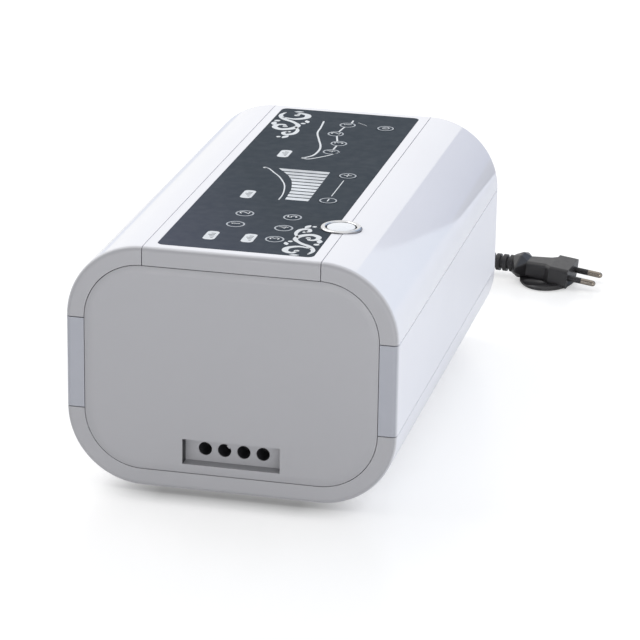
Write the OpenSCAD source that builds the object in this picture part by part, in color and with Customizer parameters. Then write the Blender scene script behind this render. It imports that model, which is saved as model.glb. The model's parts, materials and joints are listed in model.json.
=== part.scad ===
// Compression therapy pump: a rounded box housing of six shells and two end plates,
// a membrane control panel, a linear air pump, a rotary air distributor, a four-port
// outlet and a mains lead with its plug.
// Millimetres. +Z is up, the outlet ports face -Y, and the origin is the middle of the
// housing on the surface that the feet stand on.

/* [Housing] */
// Width of the housing
body_w = 190; // [184:1:220]
// Height of the housing above its feet
body_h = 142; // [138:1:180]
// Length of the housing
body_l = 308; // [304:1:360]
// Corner radius of the housing's section
corner_r = 44; // [38:1:48]
// Wall thickness of the shells
wall = 2.5; // [2.2:0.1:3]
// Rounding of the front and rear outer edges
edge_r = 3; // [2.5:0.1:4]
// Width of the front and rear flanges
flange_w = 10.5; // [9:0.5:12]
// Gap left open at every seam
seam = 0.5; // [0.3:0.1:0.8]
// Width of the lap strips behind the seams
lap_w = 4; // [3:0.5:6]
// Height of the feet below the housing
foot_h = 3; // [2:0.5:6]
// Diameter of the feet
foot_d = 16; // [12:1:22]
// Distance of the feet from the housing's middle, along X and Y
foot_pos = [38, 125];

/* [End plates] */
// Gap round the front and rear plates
plate_gap = 0.4; // [0.3:0.1:0.8]
// Overlap of the plates behind the flanges
plate_lap = 3; // [2:0.5:5]
// Thickness of the plates' overlap
lip_t = 2; // [1.5:0.5:3]
// Depth of the rear plate's face inside the rear flange
rear_inset = 2; // [1:0.5:2.5]
// Diameter of the rear plate's screws
screw_d = 3; // [2.5:0.5:4]
// Diameter and height of the rear screws' heads
screw_head = [7, 1.8];
// Width of a cooling slot
vent_w = 3; // [2:0.5:3.5]
// Length of a cooling slot
vent_len = 34; // [20:1:40]
// Number of cooling slots in the rear plate
vent_count = 9; // [4:1:10]

/* [Outlet] */
// Width, height and depth of the connector recess
recess_w = 56.5; // [54:0.5:62]
recess_h = 15; // [13:0.5:20]
recess_depth = 7.5; // [5:0.5:12]
// Centre of the recess, along X and above the housing's underside
recess_pos = [0.75, 23.5];
// Diameter of an outlet port
port_d = 7.8; // [6:0.1:9]
// Spacing of the outlet ports
port_pitch = 11.2; // [10.5:0.1:13]
// Depth of an outlet port
port_depth = 14; // [10:1:16]
// Depth of the outlet block behind the recess
block_depth = 18; // [18:1:24]
// Width, height and length of the keying rib in the second port
port_key = [2, 1, 2];

/* [Control panel] */
// Margin of the overlay to the seams beside the top panel
overlay_side = 6.5; // [5.5:0.5:8]
// Margin of the overlay to the housing's front and rear
overlay_margin = 7.7; // [6:0.1:12]
// Thickness of the overlay
overlay_t = 0.5; // [0.3:0.1:0.8]
// Corner radius of the overlay
overlay_r = 4; // [2:0.5:8]
// Diameter of the power, plus and minus keys
control_key_d = 11; // [9:0.5:12]
// Diameter of the program keys
program_key_d = 8.5; // [7:0.5:10]
// Diameter of the zone keys
zone_key_d = 8; // [6:0.5:9]
// Height of a key above the overlay
key_rise = 0.4; // [0.2:0.1:0.8]
// Travel of a key
key_travel = 0.4; // [0.2:0.1:0.5]
// Gap round a key
key_gap = 0.3; // [0.2:0.05:0.4]
// Distance of the control keys' column from the right seam
control_side = 22.3; // [22:0.1:25]
// Distance of the power key from the housing's rear
power_y = 37; // [34:1:42]
// Places of the plus and minus keys behind the housing's middle
pressure_y = [10, -41.5];
// Columns of the program keys, along X
program_x = [-11.6, 16.4];
// Place of the first program key behind the housing's front
program_y = 34; // [30:1:38]
// Spacing of the program keys
program_pitch = 21; // [18:0.5:22]
// Places of the zone keys, along X and from the housing's rear
zone_pos = [[4, 35.5], [1.3, 57], [8, 77.5], [7.5, 96.5]];

/* [Push button] */
// Distance of the button from the right seam, and from the housing's front
button_inset = [3.6, 64.3];
// Diameter of the button
button_d = 16.6; // [14:0.2:18]
// Height of the button above the housing
button_rise = 1.9; // [1:0.1:3]
// Travel of the button
button_travel = 2; // [1:0.1:3]
// Outer diameter of the ring
ring_d = 24; // [23:0.5:26]
// Height of the ring above the housing
ring_rise = 2.2; // [1.5:0.1:3]
// Gap between button and ring
button_gap = 0.4; // [0.3:0.05:0.6]

/* [Air pump] */
// Place of the pump's middle, along X and Y
pump_pos = [0, 62];
// Length, width and height of the pump frame
pump_frame_size = [118, 66, 56];
// Thickness of the frame's base and end walls
frame_t = 4; // [3:0.5:6]
// Radius of the diaphragms
diaphragm_r = 24; // [22:0.5:25]
// Thickness of a diaphragm
diaphragm_t = 2; // [1.5:0.1:3]
// Radius of the discs that clamp the diaphragms
disc_r = 8; // [6:0.5:10]
// Stroke of the armature to each side
armature_stroke = 2; // [1:0.1:2.5]
// Length, thickness and height of the armature's bar
armature_bar = [92, 5, 22];
// Length of a pump head
head_len = 18; // [16:1:22]
// Height of the rubber mounts
mount_h = 8; // [6:0.5:12]

/* [Air distributor] */
// Place of the distributor's axis, along X and Y
dist_pos = [0.75, -60];
// Outer radius of the distributor's body
dist_r = 26; // [24:0.5:30]
// Height of the distributor's body
dist_h = 20; // [18:1:26]
// Wall of the distributor's body
dist_wall = 5; // [4:0.5:6]
// Radius of the rotor's shaft
shaft_r = 3; // [2:0.5:4]
// Radial running clearance of the shaft
shaft_fit = 0.05; // [0.02:0.01:0.1]
// Clearance of the rotor in the body
rotor_gap = 0.4; // [0.3:0.05:0.6]
// Height of the distributor's motor
motor_h = 16; // [12:1:20]

/* [Tubes] */
// Outer diameter of the inner air tubes
tube_d = 8.6; // [8:0.1:9.5]
// Length of tube pushed over a nipple
tube_grip = 7; // [5:0.5:8]
// Bore of the nipples
nipple_bore = 3.6; // [3:0.1:4]
// Outer diameter of the nipples
nipple_d = 6; // [5:0.1:6.5]

/* [Electrics] */
// Length and height of the main board
board_size = [108, 82];
// Thickness of the circuit boards
board_t = 1.6; // [1:0.1:2]
// Place of the main board, along X, and of its middle, along Y
board_pos = [60, -72];
// Width, depth and height of the transformer
transformer_size = [54, 42, 44];
// Place of the transformer's middle, along X and Y
transformer_pos = [-26, 2];

/* [Mains lead] */
// Diameter of the mains cord
cord_d = 6.5; // [5:0.1:7]
// Place of the cord gland, along X and above the surface
gland_pos = [-51.5, 23];
// Length of the gland's boot behind the housing
boot_len = 30; // [24:1:40]
// Width, depth and thickness of the plug's head
plug_head = [31, 13, 13.5];
// Width and thickness of the plug's wings at their tips
plug_wing = [36, 5];
// Width and thickness of the plug's waist
plug_waist = [20, 13];
// Half length, half width and thickness of the plug's oval finger grip
plug_grip = [18.5, 24, 3];
// Length of the plug from its face to the strain relief
plug_len = 40; // [36:1:46]
// Length and diameter of the plug's ribbed strain relief
relief_len = 24; // [20:1:30]
relief_d = 11.6; // [10:0.2:13]
// Number of ribs on the strain relief
relief_ribs = 5; // [4:1:8]
// Length and diameter of the plug's pins
pin_len = 19; // [17:0.5:22]
pin_d = 4; // [4:0.1:4.8]
// Spacing of the plug's pins
pin_pitch = 19; // [18:0.1:20]
// Length of the sleeves on the pins
sleeve_len = 9; // [8:0.5:12]

/* [Hidden] */
$fn = 48;

// Colours
white = [0.94, 0.94, 0.96];
front_grey = [0.66, 0.67, 0.69];
slate = [0.24, 0.28, 0.32];
print_white = [0.82, 0.84, 0.86];
black = [0.10, 0.10, 0.11];
rubber = [0.16, 0.16, 0.17];
metal = [0.72, 0.73, 0.75];
copper = [0.72, 0.42, 0.22];
board_green = [0.10, 0.35, 0.22];
tube_clear = [0.78, 0.82, 0.84];

// Levels and half sizes of the housing
bottom = foot_h;
top = foot_h + body_h;
half_w = body_w / 2;
half_l = body_l / 2;
flat_x = half_w - corner_r;
low_z = bottom + corner_r;
high_z = top - corner_r;
front = -half_l;
floor_z = bottom + wall;

// Small clearances and details shared by several pieces
screw_fit = 0.05;
small_screw_d = 2.6;
small_screw_len = 4.5;
floor_boss_r = 5;
floor_boss_h = 3;
screw_slot = [4, 0.8, 0.8];
hole_gap = 0.2;
fit_gap = 0.1;
lap_gap = 0.5;
lap_t = 1.5;
tiny = 0.01;
rib_t = 2;

// Control panel levels
overlay_w = 2 * (flat_x - overlay_side);
overlay_l = body_l - 2 * overlay_margin;
overlay_z = top - overlay_t;
pocket_depth = key_travel + 0.2;
stem_drop = 1.5;
stem_r = 2;
stem_z = top - wall - stem_drop;
dome_h = 0.8;
dome_gap = 0.05;
board_top = stem_z - key_travel - dome_gap - dome_h;
program_keys = [[program_x[0], program_y + program_pitch], [program_x[0], program_y + 2 * program_pitch],
                [program_x[1], program_y], [program_x[1], program_y + program_pitch],
                [program_x[1], program_y + 2 * program_pitch]];
control_x = flat_x - control_side;
control_keys = [for (y = [body_l - power_y, half_l + pressure_y[0], half_l + pressure_y[1]]) [control_x, y]];
zone_keys = [for (p = zone_pos) [p[0], body_l - p[1]]];
all_keys = concat([for (p = control_keys) [p, control_key_d]], [for (p = zone_keys) [p, zone_key_d]],
                  [for (p = program_keys) [p, program_key_d]]);
keypad_edge = 15;
keypad_end = 14;
keypad_x = [program_x[0] - keypad_edge, control_x + keypad_edge / 2];
keypad_y = [program_y - keypad_end, body_l - zone_pos[0][1] + keypad_end];
post_r = 2.6;
post_x = [keypad_x[0] + 2 * post_r, keypad_x[1] - 2 * post_r];
post_y = [program_keys[4][1] + 4 * keypad_end / 3, half_l + 2.6 * keypad_end, body_l - 5.1 * keypad_end];
keypad_posts = [for (y = post_y) for (x = post_x) [x, y]];

// Push button levels
button_pos = [flat_x - button_inset[0], button_inset[1]];
ring_inner = button_d / 2 + button_gap;
ring_sink = 1.2;
ring_tube_t = 1.2;
ring_tube_len = 9;
button_skirt = 5;
button_stem_r = 3;
switch_size = [15, 15, 9];
switch_well = 4;

// Rear plate
rear_face = half_l - rear_inset;
rear_back = rear_face - wall;
screw_inset = 13;
screw_x = flat_x + corner_r - flange_w - screw_inset;
screw_z = [bottom + flange_w + 18, top - flange_w - 18];
boss_r = 4.5;
boss_len = 16;
rear_screw_spots = [for (x = [-screw_x, screw_x]) for (z = screw_z) [x, z]];

// Outlet
recess_z = bottom + recess_pos[1];
recess_wall = 1.5;
block_front = front + recess_depth;
block_back = block_front + block_depth;
barb_len = 9;
ports = [for (i = [-1.5:1:1.5]) recess_pos[0] + i * port_pitch];

// Pump
pump_base_z = floor_z + floor_boss_h + mount_h;
pump_axis_z = pump_base_z + pump_frame_size[2] / 2 + 2;
frame_half = pump_frame_size[0] / 2;
bore_r = diaphragm_r - 4;
head_in = frame_half + diaphragm_t;
chamber_depth = diaphragm_t + armature_stroke + 4;
mount_r = 6;
mount_inset = [15, 7];
mount_spots = [for (x = [-1, 1]) for (y = [-1, 1])
    [x * (frame_half - mount_inset[0]), y * (pump_frame_size[1] / 2 - mount_inset[1])]];
head_half = diaphragm_r + 2;
head_port_x = head_in + chamber_depth / 2;
rod_r = 3;
core_depth = 26;
core_len = 60;
leg_w = 11;
core_gap = 1;
core_half_z = 13;
core_front = armature_bar[1] / 2 + core_gap;

// Distributor
motor_z = floor_z + floor_boss_h;
dist_z = motor_z + motor_h + 1;
dist_top = dist_z + dist_h;
dist_floor = 4;
nipple_len = 10;
outlet_angles = [-135, -105, -75, -45];
outlet_z = dist_z + dist_floor + 6;
ear_x = dist_r + 4;
ear_t = 1.5;
cover_t = 3;
inlet_x = 9;
cover_screw_angles = [0:90:270];

// Transformer and main board
transformer_ear = transformer_size[0] / 2 + 5;
board_z = bottom + 25;
guide_h = 34;
guide_t = 5;
relay_size = [10, 13, 12];
relay_spot = [-38, 8];
relay_pitch = 18;
chip_size = [3, 18, 18];
chip_spot = [-20, 44];
capacitor_size = [5, 16];
capacitor_spot = [20, 60];
capacitor_pitch = 14;
socket_size = [8, 14, 6];
socket_spot = [-46, 68];
socket_pitch = 20;
terminal_size = [34, 16, 12];
terminal_pos = [gland_pos[0] + 16, half_l - 44, floor_z];
lead_r = 1.4;
lead_gap = 8;
lead_run = 10;
lead_entry = [14, 20];
lead_bends = [10, 20, 28];
lead_under = [pump_pos[0] + 22, pump_pos[1], floor_z + 4];

// Cord and plug. The origin of the plug is the middle of its pin face.
cord_r = cord_d / 2;
gland_neck_r = cord_r + 2;
pin_core_r = 1.6;
pin_root = 8;
grip_place = [-17, 0, 0.35];
grip_dish = [9, 6.5, 3.4];
grip_dish_place = [-5.5, 16.4, 1.3];
relief_drop = 1.7;
plug_face = [127.3, 276, 7.05];
plug_turn = [0, 6, -6];
cord_sides = 8;
coil_sides = 6;
coil_centre = [0, 234.5];
coil_turns = 7.25;
coil_r = 51.5;
coil_step = 6.95;
loop_rings = 24;
near_route = [[-51.5, 184, 23], [-51.5, 187, 23], [-51.5, 191, 22.3], [-51.5, 196, 20.6], [-51.5, 201, 17.6],
              [-51.5, 205.7, 13.1], [-51.5, 210.4, 8.6], [-51.5, 215.5, 5.6], [-51.5, 220.5, 4],
              [-51.5, 225, 3.25], [-51.5, 228, 3.25]];
far_route = [[6.5, 286, 10.2], [13, 286, 10.2], [22, 285.9, 10.2], [31, 285.6, 9.9], [40, 285, 9.65],
             [49, 284.25, 9.54], [57.6, 283.32, 9.54]];

// Sections and shared forms ------------------------------------------------------------

// Rounded rectangle of exact arcs, centred
module round_rect(size, r) {
    square([size[0] - 2 * r, size[1]], center = true);
    square([size[0], size[1] - 2 * r], center = true);
    for (x = [-1, 1])
        for (y = [-1, 1])
            translate([x * (size[0] / 2 - r), y * (size[1] / 2 - r)])
                circle(r);
}

// A flat outline (x, z) made solid between two places along Y
module along_y(y0, y1) {
    translate([0, y1, 0])
        rotate([90, 0, 0])
            linear_extrude(y1 - y0)
                children();
}

// A profile (radius, length) turned about an axis along +Y from y0
module turned_y(x, y0, z) {
    translate([x, y0, z])
        rotate([-90, 0, 0])
            rotate_extrude()
                children();
}

// Section of a shell: radial distance from the corner's centre against Y
module shell_section(y0, y1) {
    intersection() {
        difference() {
            union() {
                translate([corner_r - flange_w, -half_l])
                    square([flange_w - edge_r, body_l]);
                translate([corner_r - flange_w, -half_l + edge_r])
                    square([flange_w, body_l - 2 * edge_r]);
                for (y = [-1, 1])
                    translate([corner_r - edge_r, y * (half_l - edge_r)])
                        circle(edge_r);
            }
            translate([corner_r - flange_w - 1, -half_l + wall])
                square([flange_w + 1 - wall, body_l - 2 * wall]);
        }
        translate([0, y0])
            square([corner_r + 1, y1 - y0]);
    }
}

// Straight wall along X at the top or the bottom of the housing
module flat_wall(len, y0, y1) {
    rotate([0, -90, 0])
        linear_extrude(len, center = true)
            shell_section(y0, y1);
}

// Quarter turn of the section; start is the angle about the housing's length
module corner_wall(start, y0, y1) {
    rotate([-90, 0, 0])
        rotate([0, 0, start])
            rotate_extrude(angle = 90, $fn = 96)
                shell_section(y0, y1);
}

// Flat shell of a given width with laps that reach under the shells beside it
module flat_shell(width) {
    span = body_l - 2 * wall - 2 * lip_t - 2 * lap_gap;
    color(white)
        flat_wall(width, -half_l + edge_r, half_l);
    color(front_grey)
        flat_wall(width, -half_l, -half_l + edge_r);
    color(white)
        for (m = [0, 1])
            mirror([m, 0, 0])
                translate([width / 2, -span / 2, corner_r - wall - lap_gap - lap_t]) {
                    translate([-lap_w, 0, 0])
                        cube([lap_w, span, lap_gap + lap_t + tiny]);
                    translate([-lap_w, 0, 0])
                        cube([2 * lap_w + seam, span, lap_t]);
                }
}

module upper_corner_wall(y0, y1) {
    translate([flat_x, 0, high_z])
        corner_wall(-90, y0, y1);
}

module lower_u_wall(y0, y1) {
    translate([0, 0, low_z])
        rotate([0, 180, 0])
            flat_wall(2 * flat_x, y0, y1);
    for (m = [0, 1])
        mirror([m, 0, 0])
            translate([flat_x, 0, low_z])
                corner_wall(0, y0, y1);
}

// Straight pipe stub with a barb at its end and a bore, along +Z from the origin
module nipple(len) {
    difference() {
        union() {
            cylinder(d = nipple_d - 0.6, h = len);
            translate([0, 0, len - 3])
                cylinder(d1 = nipple_d, d2 = nipple_d - 1.2, h = 3);
        }
        translate([0, 0, -tiny])
            cylinder(d = nipple_bore, h = len + 2 * tiny);
    }
}

// Tube swept along points; ref is a direction that the path never takes
function unit(v) = v / norm(v);
function tangent(p, i) = unit(p[min(i + 1, len(p) - 1)] - p[max(i - 1, 0)]);
function ring(p, i, r, sides, ref) =
    let (t = tangent(p, i), a = unit(cross(t, ref)), b = cross(a, t))
    [for (k = [0:sides - 1])
        let (turn = 360 * (k + 0.5) / sides)
        p[i] + r * (cos(turn) * a + sin(turn) * b)];

module swept_tube(p, r, sides, ref) {
    n = len(p);
    points = [for (i = [0:n - 1]) each ring(p, i, r, sides, ref)];
    walls = [for (i = [0:n - 2]) for (k = [0:sides - 1])
        let (a = i * sides + k, b = i * sides + (k + 1) % sides)
        each [[a, b, b + sides], [a, b + sides, a + sides]]];
    first = [for (k = [sides - 1:-1:0]) k];
    last = [for (k = [0:sides - 1]) (n - 1) * sides + k];
    polyhedron(points, concat([first, last], walls));
}

// Smooth path between two ends that each leave in their own direction
function bezier(a, b, c, d, t) =
    pow(1 - t, 3) * a + 3 * t * pow(1 - t, 2) * b + 3 * pow(t, 2) * (1 - t) * c + pow(t, 3) * d;
function smooth_path(a, dir_a, b, dir_b, pull, steps) =
    [for (i = [0:steps]) bezier(a, a + pull * dir_a, b + pull * dir_b, b, i / steps)];
function square_ended(a, dir_a, b, dir_b, pull, steps) =
    concat([a], smooth_path(a + 2 * dir_a, dir_a, b + 2 * dir_b, dir_b, pull, steps), [b]);

// Housing ------------------------------------------------------------------------------

module lower_shell() {
    difference() {
        union() {
            color(white)
                lower_u_wall(-half_l + edge_r, half_l);
            color(front_grey)
                lower_u_wall(-half_l, -half_l + edge_r);
            color(white)
                lower_fittings();
        }
        for (x = [-foot_pos[0], foot_pos[0]])
            for (y = [-foot_pos[1], foot_pos[1]])
                translate([x, y, bottom - tiny])
                    cylinder(d = foot_d + 2 * hole_gap, h = 1 + tiny);
        for (i = [-3:3])
            translate([pump_pos[0] + 4 * i * vent_w - vent_w / 2, pump_pos[1] - vent_len / 2, bottom - 1])
                cube([vent_w, vent_len, wall + 2]);
    }
}

// Bosses, board guides and screw bosses inside the lower shell
module lower_fittings() {
    for (p = mount_spots)
        floor_boss([pump_pos[0] + p[0], pump_pos[1] + p[1]]);
    for (x = [-ear_x, ear_x])
        screw_boss([dist_pos[0] + x, dist_pos[1]]);
    for (x = [-transformer_ear, transformer_ear])
        screw_boss([transformer_pos[0] + x, transformer_pos[1]]);
    for (y = [-1, 1])
        board_guide(y);
    for (x = [-1, 1])
        rear_boss(x, 0);
}

module floor_boss(p) {
    translate([p[0], p[1], floor_z - tiny])
        cylinder(r = floor_boss_r, h = floor_boss_h + tiny);
}

module screw_boss(p) {
    difference() {
        floor_boss(p);
        translate([p[0], p[1], floor_z])
            cylinder(r = small_screw_d / 2 + screw_fit, h = floor_boss_h + 1);
    }
}

// Slotted post that holds one end of the upright main board
module board_guide(side) {
    y_end = board_pos[1] + side * board_size[0] / 2;
    slot_len = 1.5 * guide_t;
    difference() {
        translate([board_pos[0] - guide_t, y_end - guide_t / 2, floor_z])
            cube([2 * guide_t, guide_t, board_z + guide_h - floor_z]);
        translate([board_pos[0] - board_t / 2 - fit_gap, y_end - (side > 0 ? slot_len : fit_gap), board_z])
            cube([board_t + 2 * fit_gap, slot_len + fit_gap, guide_h + 1]);
    }
}

// Boss that takes a rear screw, with its web to the curved shell
module rear_boss(x_side, level) {
    x = x_side * screw_x;
    z = screw_z[level];
    centre_z = level == 0 ? low_z : high_z;
    out = flat_x + sqrt(pow(corner_r - wall / 2, 2) - pow(z - centre_z, 2));
    difference() {
        union() {
            turned_y(x, rear_back - boss_len, z)
                square([boss_r, boss_len]);
            translate([min(x, x_side * out), rear_back - boss_len, z - rib_t / 2])
                cube([out - screw_x, boss_len, rib_t]);
        }
        turned_y(x, rear_back - boss_len + 2, z)
            square([screw_d / 2 + screw_fit, boss_len]);
    }
}

module right_side_panel() {
    translate([flat_x, 0, (low_z + high_z) / 2])
        rotate([0, 90, 0])
            flat_shell(high_z - low_z - 2 * seam);
}

module left_side_panel() {
    mirror([1, 0, 0])
        right_side_panel();
}

module upper_shell_right(with_button) {
    difference() {
        union() {
            color(white)
                upper_corner_wall(-half_l + edge_r, half_l);
            color(front_grey)
                upper_corner_wall(-half_l, -half_l + edge_r);
            color(white)
                rear_boss(1, 1);
        }
        if (with_button)
            button_hole();
    }
}

module upper_right_shell() {
    upper_shell_right(true);
}

module upper_left_shell() {
    mirror([1, 0, 0])
        upper_shell_right(false);
}

// Room for the button's ring and its tube
module button_hole() {
    translate([button_pos[0], front + button_pos[1], 0]) {
        translate([0, 0, top - ring_sink])
            cylinder(d = ring_d + 2 * fit_gap, h = 2 * ring_sink);
        translate([0, 0, top - 2 * ring_tube_len])
            cylinder(r = ring_inner + ring_tube_t + fit_gap, h = 3 * ring_tube_len);
    }
}

module top_panel() {
    difference() {
        union() {
            translate([0, 0, high_z])
                flat_shell(2 * (flat_x - seam));
            color(white)
                for (p = keypad_posts)
                    translate([p[0], front + p[1], board_top])
                        cylinder(r = post_r, h = top - wall - board_top + tiny);
        }
        translate([0, 0, overlay_z])
            linear_extrude(2 * overlay_t)
                round_rect([overlay_w + 2 * fit_gap, overlay_l + 2 * fit_gap], overlay_r);
        for (k = all_keys)
            key_hole(k[0], k[1]);
        for (p = keypad_posts)
            translate([p[0], front + p[1], board_top - 1])
                cylinder(r = small_screw_d / 2 + screw_fit, h = small_screw_len);
        button_hole();
    }
}

// Pocket and stem hole of one key
module key_hole(p, d) {
    translate([p[0], front + p[1], 0]) {
        translate([0, 0, overlay_z - pocket_depth])
            cylinder(d = d + 2 * key_gap, h = pocket_depth + 2 * overlay_t);
        translate([0, 0, top - 2 * wall])
            cylinder(r = stem_r + key_gap, h = 2 * wall);
    }
}

// Outline of an end plate inside the flanges; grow widens it
module plate_outline(grow) {
    translate([0, (top + bottom) / 2])
        round_rect([body_w - 2 * flange_w + 2 * grow, body_h - 2 * flange_w + 2 * grow],
                   corner_r - flange_w + grow);
}

module recess_outline(grow) {
    translate([recess_pos[0], recess_z])
        square([recess_w + 2 * grow, recess_h + 2 * grow], center = true);
}

module front_plate() {
    color(front_grey)
        difference() {
            union() {
                along_y(front, front + wall + lip_t)
                    plate_outline(-plate_gap);
                along_y(front + wall, front + wall + lip_t)
                    plate_outline(plate_lap);
                along_y(front, block_front)
                    recess_outline(recess_wall);
            }
            along_y(front - 1, block_front + 1)
                recess_outline(0);
        }
}

module rear_plate() {
    color(white)
        difference() {
            union() {
                along_y(rear_back, rear_face)
                    plate_outline(-plate_gap);
                along_y(half_l - wall - lip_t, half_l - wall)
                    plate_outline(plate_lap);
            }
            for (s = rear_screw_spots)
                turned_y(s[0], rear_back - 1, s[1])
                    square([screw_d / 2 + hole_gap, wall + 2]);
            turned_y(gland_pos[0], rear_back - 1, gland_pos[1])
                square([gland_neck_r + fit_gap, wall + 2]);
            for (i = [0:vent_count - 1])
                translate([(i - (vent_count - 1) / 2) * 3 * vent_w - vent_w / 2, rear_back - 1,
                           high_z - vent_len])
                    cube([vent_w, wall + 2, vent_len]);
        }
}

module rear_screws() {
    color(metal)
        for (s = rear_screw_spots)
            difference() {
                union() {
                    turned_y(s[0], rear_face, s[1])
                        square([screw_head[0] / 2, screw_head[1]]);
                    turned_y(s[0], rear_back - boss_len + 3, s[1])
                        square([screw_d / 2, boss_len + wall]);
                }
                for (a = [0, 90])
                    translate([s[0], rear_face + screw_head[1], s[1]])
                        rotate([0, a, 0])
                            cube([screw_slot[0], 2 * screw_slot[2], screw_slot[1]], center = true);
            }
}

module feet() {
    color(rubber)
        for (x = [-foot_pos[0], foot_pos[0]])
            for (y = [-foot_pos[1], foot_pos[1]])
                translate([x, y, 0])
                    difference() {
                        union() {
                            cylinder(d1 = foot_d - 1.5, d2 = foot_d, h = 1.5);
                            translate([0, 0, 1.5])
                                cylinder(d = foot_d, h = foot_h - 0.5);
                        }
                        translate([0, 0, -1])
                            cylinder(d = foot_d / 3, h = 2);
                    }
}

// Outlet -------------------------------------------------------------------------------

module outlet_block() {
    color(front_grey)
        difference() {
            union() {
                along_y(block_front, block_back)
                    recess_outline(recess_wall);
                for (x = ports)
                    translate([x, block_back - 1, recess_z])
                        rotate([-90, 0, 0])
                            nipple(barb_len + 1);
            }
            for (x = ports)
                outlet_bore(x);
        }
    color(front_grey)
        translate([ports[1], block_front, recess_z])
            rotate([0, 45, 0])
                translate([-port_key[0] / 2, 0, port_d / 2 - port_key[1]])
                    cube([port_key[0], port_key[2], port_key[1] + 0.3]);
}

// One port: the socket for a hose end, then the air way to its nipple
module outlet_bore(x) {
    turned_y(x, block_front - 1, recess_z)
        square([port_d / 2, port_depth + 1]);
    turned_y(x, block_front + port_depth - 1, recess_z)
        square([nipple_bore / 2, block_depth]);
}

// Control panel ------------------------------------------------------------------------

module control_overlay() {
    color(slate)
        difference() {
            translate([0, 0, overlay_z])
                linear_extrude(overlay_t)
                    round_rect([overlay_w, overlay_l], overlay_r - fit_gap);
            for (k = all_keys)
                translate([k[0][0], front + k[0][1], overlay_z - 1])
                    cylinder(d = k[1] + 2 * key_gap, h = 2 * overlay_t + 2);
            translate([button_pos[0], front + button_pos[1], overlay_z - 1])
                cylinder(d = ring_d + 2 * fit_gap, h = 2 * overlay_t + 2);
        }
}

// Key with a softly domed cap and the stem that reaches its switch
module key(p, d) {
    edge = 0.25;
    color(slate)
        translate([p[0], front + p[1], 0]) {
            translate([0, 0, overlay_z])
                cylinder(d = d, h = overlay_t + key_rise - edge);
            translate([0, 0, top + key_rise - edge])
                cylinder(d1 = d, d2 = d - 2 * edge, h = edge);
            translate([0, 0, stem_z])
                cylinder(r = stem_r, h = overlay_z - stem_z + tiny);
        }
}

module key_power() { key(control_keys[0], control_key_d); }
module key_plus() { key(control_keys[1], control_key_d); }
module key_minus() { key(control_keys[2], control_key_d); }
module key_zone_1() { key(zone_keys[0], zone_key_d); }
module key_zone_2() { key(zone_keys[1], zone_key_d); }
module key_zone_3() { key(zone_keys[2], zone_key_d); }
module key_zone_4() { key(zone_keys[3], zone_key_d); }
module key_program_1() { key(program_keys[0], program_key_d); }
module key_program_2() { key(program_keys[1], program_key_d); }
module key_program_3() { key(program_keys[2], program_key_d); }
module key_program_4() { key(program_keys[3], program_key_d); }
module key_program_5() { key(program_keys[4], program_key_d); }

module keypad_board() {
    color(board_green)
        difference() {
            translate([keypad_x[0], front + keypad_y[0], board_top - board_t])
                cube([keypad_x[1] - keypad_x[0], keypad_y[1] - keypad_y[0], board_t]);
            for (p = keypad_posts)
                translate([p[0], front + p[1], board_top - 2 * board_t])
                    cylinder(r = small_screw_d / 2 + hole_gap, h = 3 * board_t);
        }
}

module dome_switches() {
    color(metal)
        for (k = all_keys)
            translate([k[0][0], front + k[0][1], board_top]) {
                cylinder(r = 3.6, h = dome_h / 2);
                cylinder(r1 = 3, r2 = 1.6, h = dome_h);
            }
}

module push_button() {
    r = button_d / 2;
    dome = 0.9;
    color(white)
        translate([button_pos[0], front + button_pos[1], top])
            rotate_extrude($fn = 64)
                intersection() {
                    union() {
                        translate([0, -button_skirt])
                            square([r, button_skirt + button_rise - dome]);
                        translate([0, button_rise - dome - button_dome_drop(r, dome)])
                            circle(button_dome_r(r, dome), $fn = 240);
                        translate([0, -ring_tube_len - 0.5])
                            square([button_stem_r, ring_tube_len]);
                    }
                    union() {
                        translate([0, -button_skirt])
                            square([r, button_skirt + button_rise + 1]);
                        translate([0, -ring_tube_len - 0.5])
                            square([button_stem_r, ring_tube_len]);
                    }
                }
}

// Radius of the button's domed top, and how far its centre lies below the dome's edge
function button_dome_r(r, dome) = (r * r + dome * dome) / (2 * dome);
function button_dome_drop(r, dome) = button_dome_r(r, dome) - dome;

module button_ring() {
    band = ring_d / 2 - ring_inner;
    crest_r = band / 2;
    color(metal)
        translate([button_pos[0], front + button_pos[1], top])
            rotate_extrude($fn = 64) {
                translate([ring_inner, -ring_sink])
                    square([band, ring_sink + ring_rise - crest_r]);
                translate([ring_inner + crest_r, ring_rise - crest_r])
                    circle(crest_r);
                translate([ring_inner, -ring_tube_len])
                    square([ring_tube_t, ring_tube_len]);
            }
}

module push_switch() {
    color(black)
        translate([button_pos[0], front + button_pos[1], top - ring_tube_len])
            difference() {
                translate([-switch_size[0] / 2, -switch_size[1] / 2, -switch_size[2]])
                    cube(switch_size);
                translate([0, 0, -switch_well])
                    cylinder(r = button_stem_r + 0.5, h = switch_well + 1);
            }
    color(metal)
        for (x = [-3, 3])
            translate([button_pos[0] + x - 0.5, front + button_pos[1] - 2,
                       top - ring_tube_len - switch_size[2] - 4])
                cube([1, 4, 4 + tiny]);
}

// Air pump -----------------------------------------------------------------------------

module pump_place() {
    translate([pump_pos[0], pump_pos[1], 0])
        children();
}

// Cylinder along X, centred at x, on the pump's axis
module x_disc(x, r, t) {
    translate([x, 0, pump_axis_z])
        rotate([0, 90, 0])
            cylinder(r = r, h = t, center = true);
}

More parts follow.
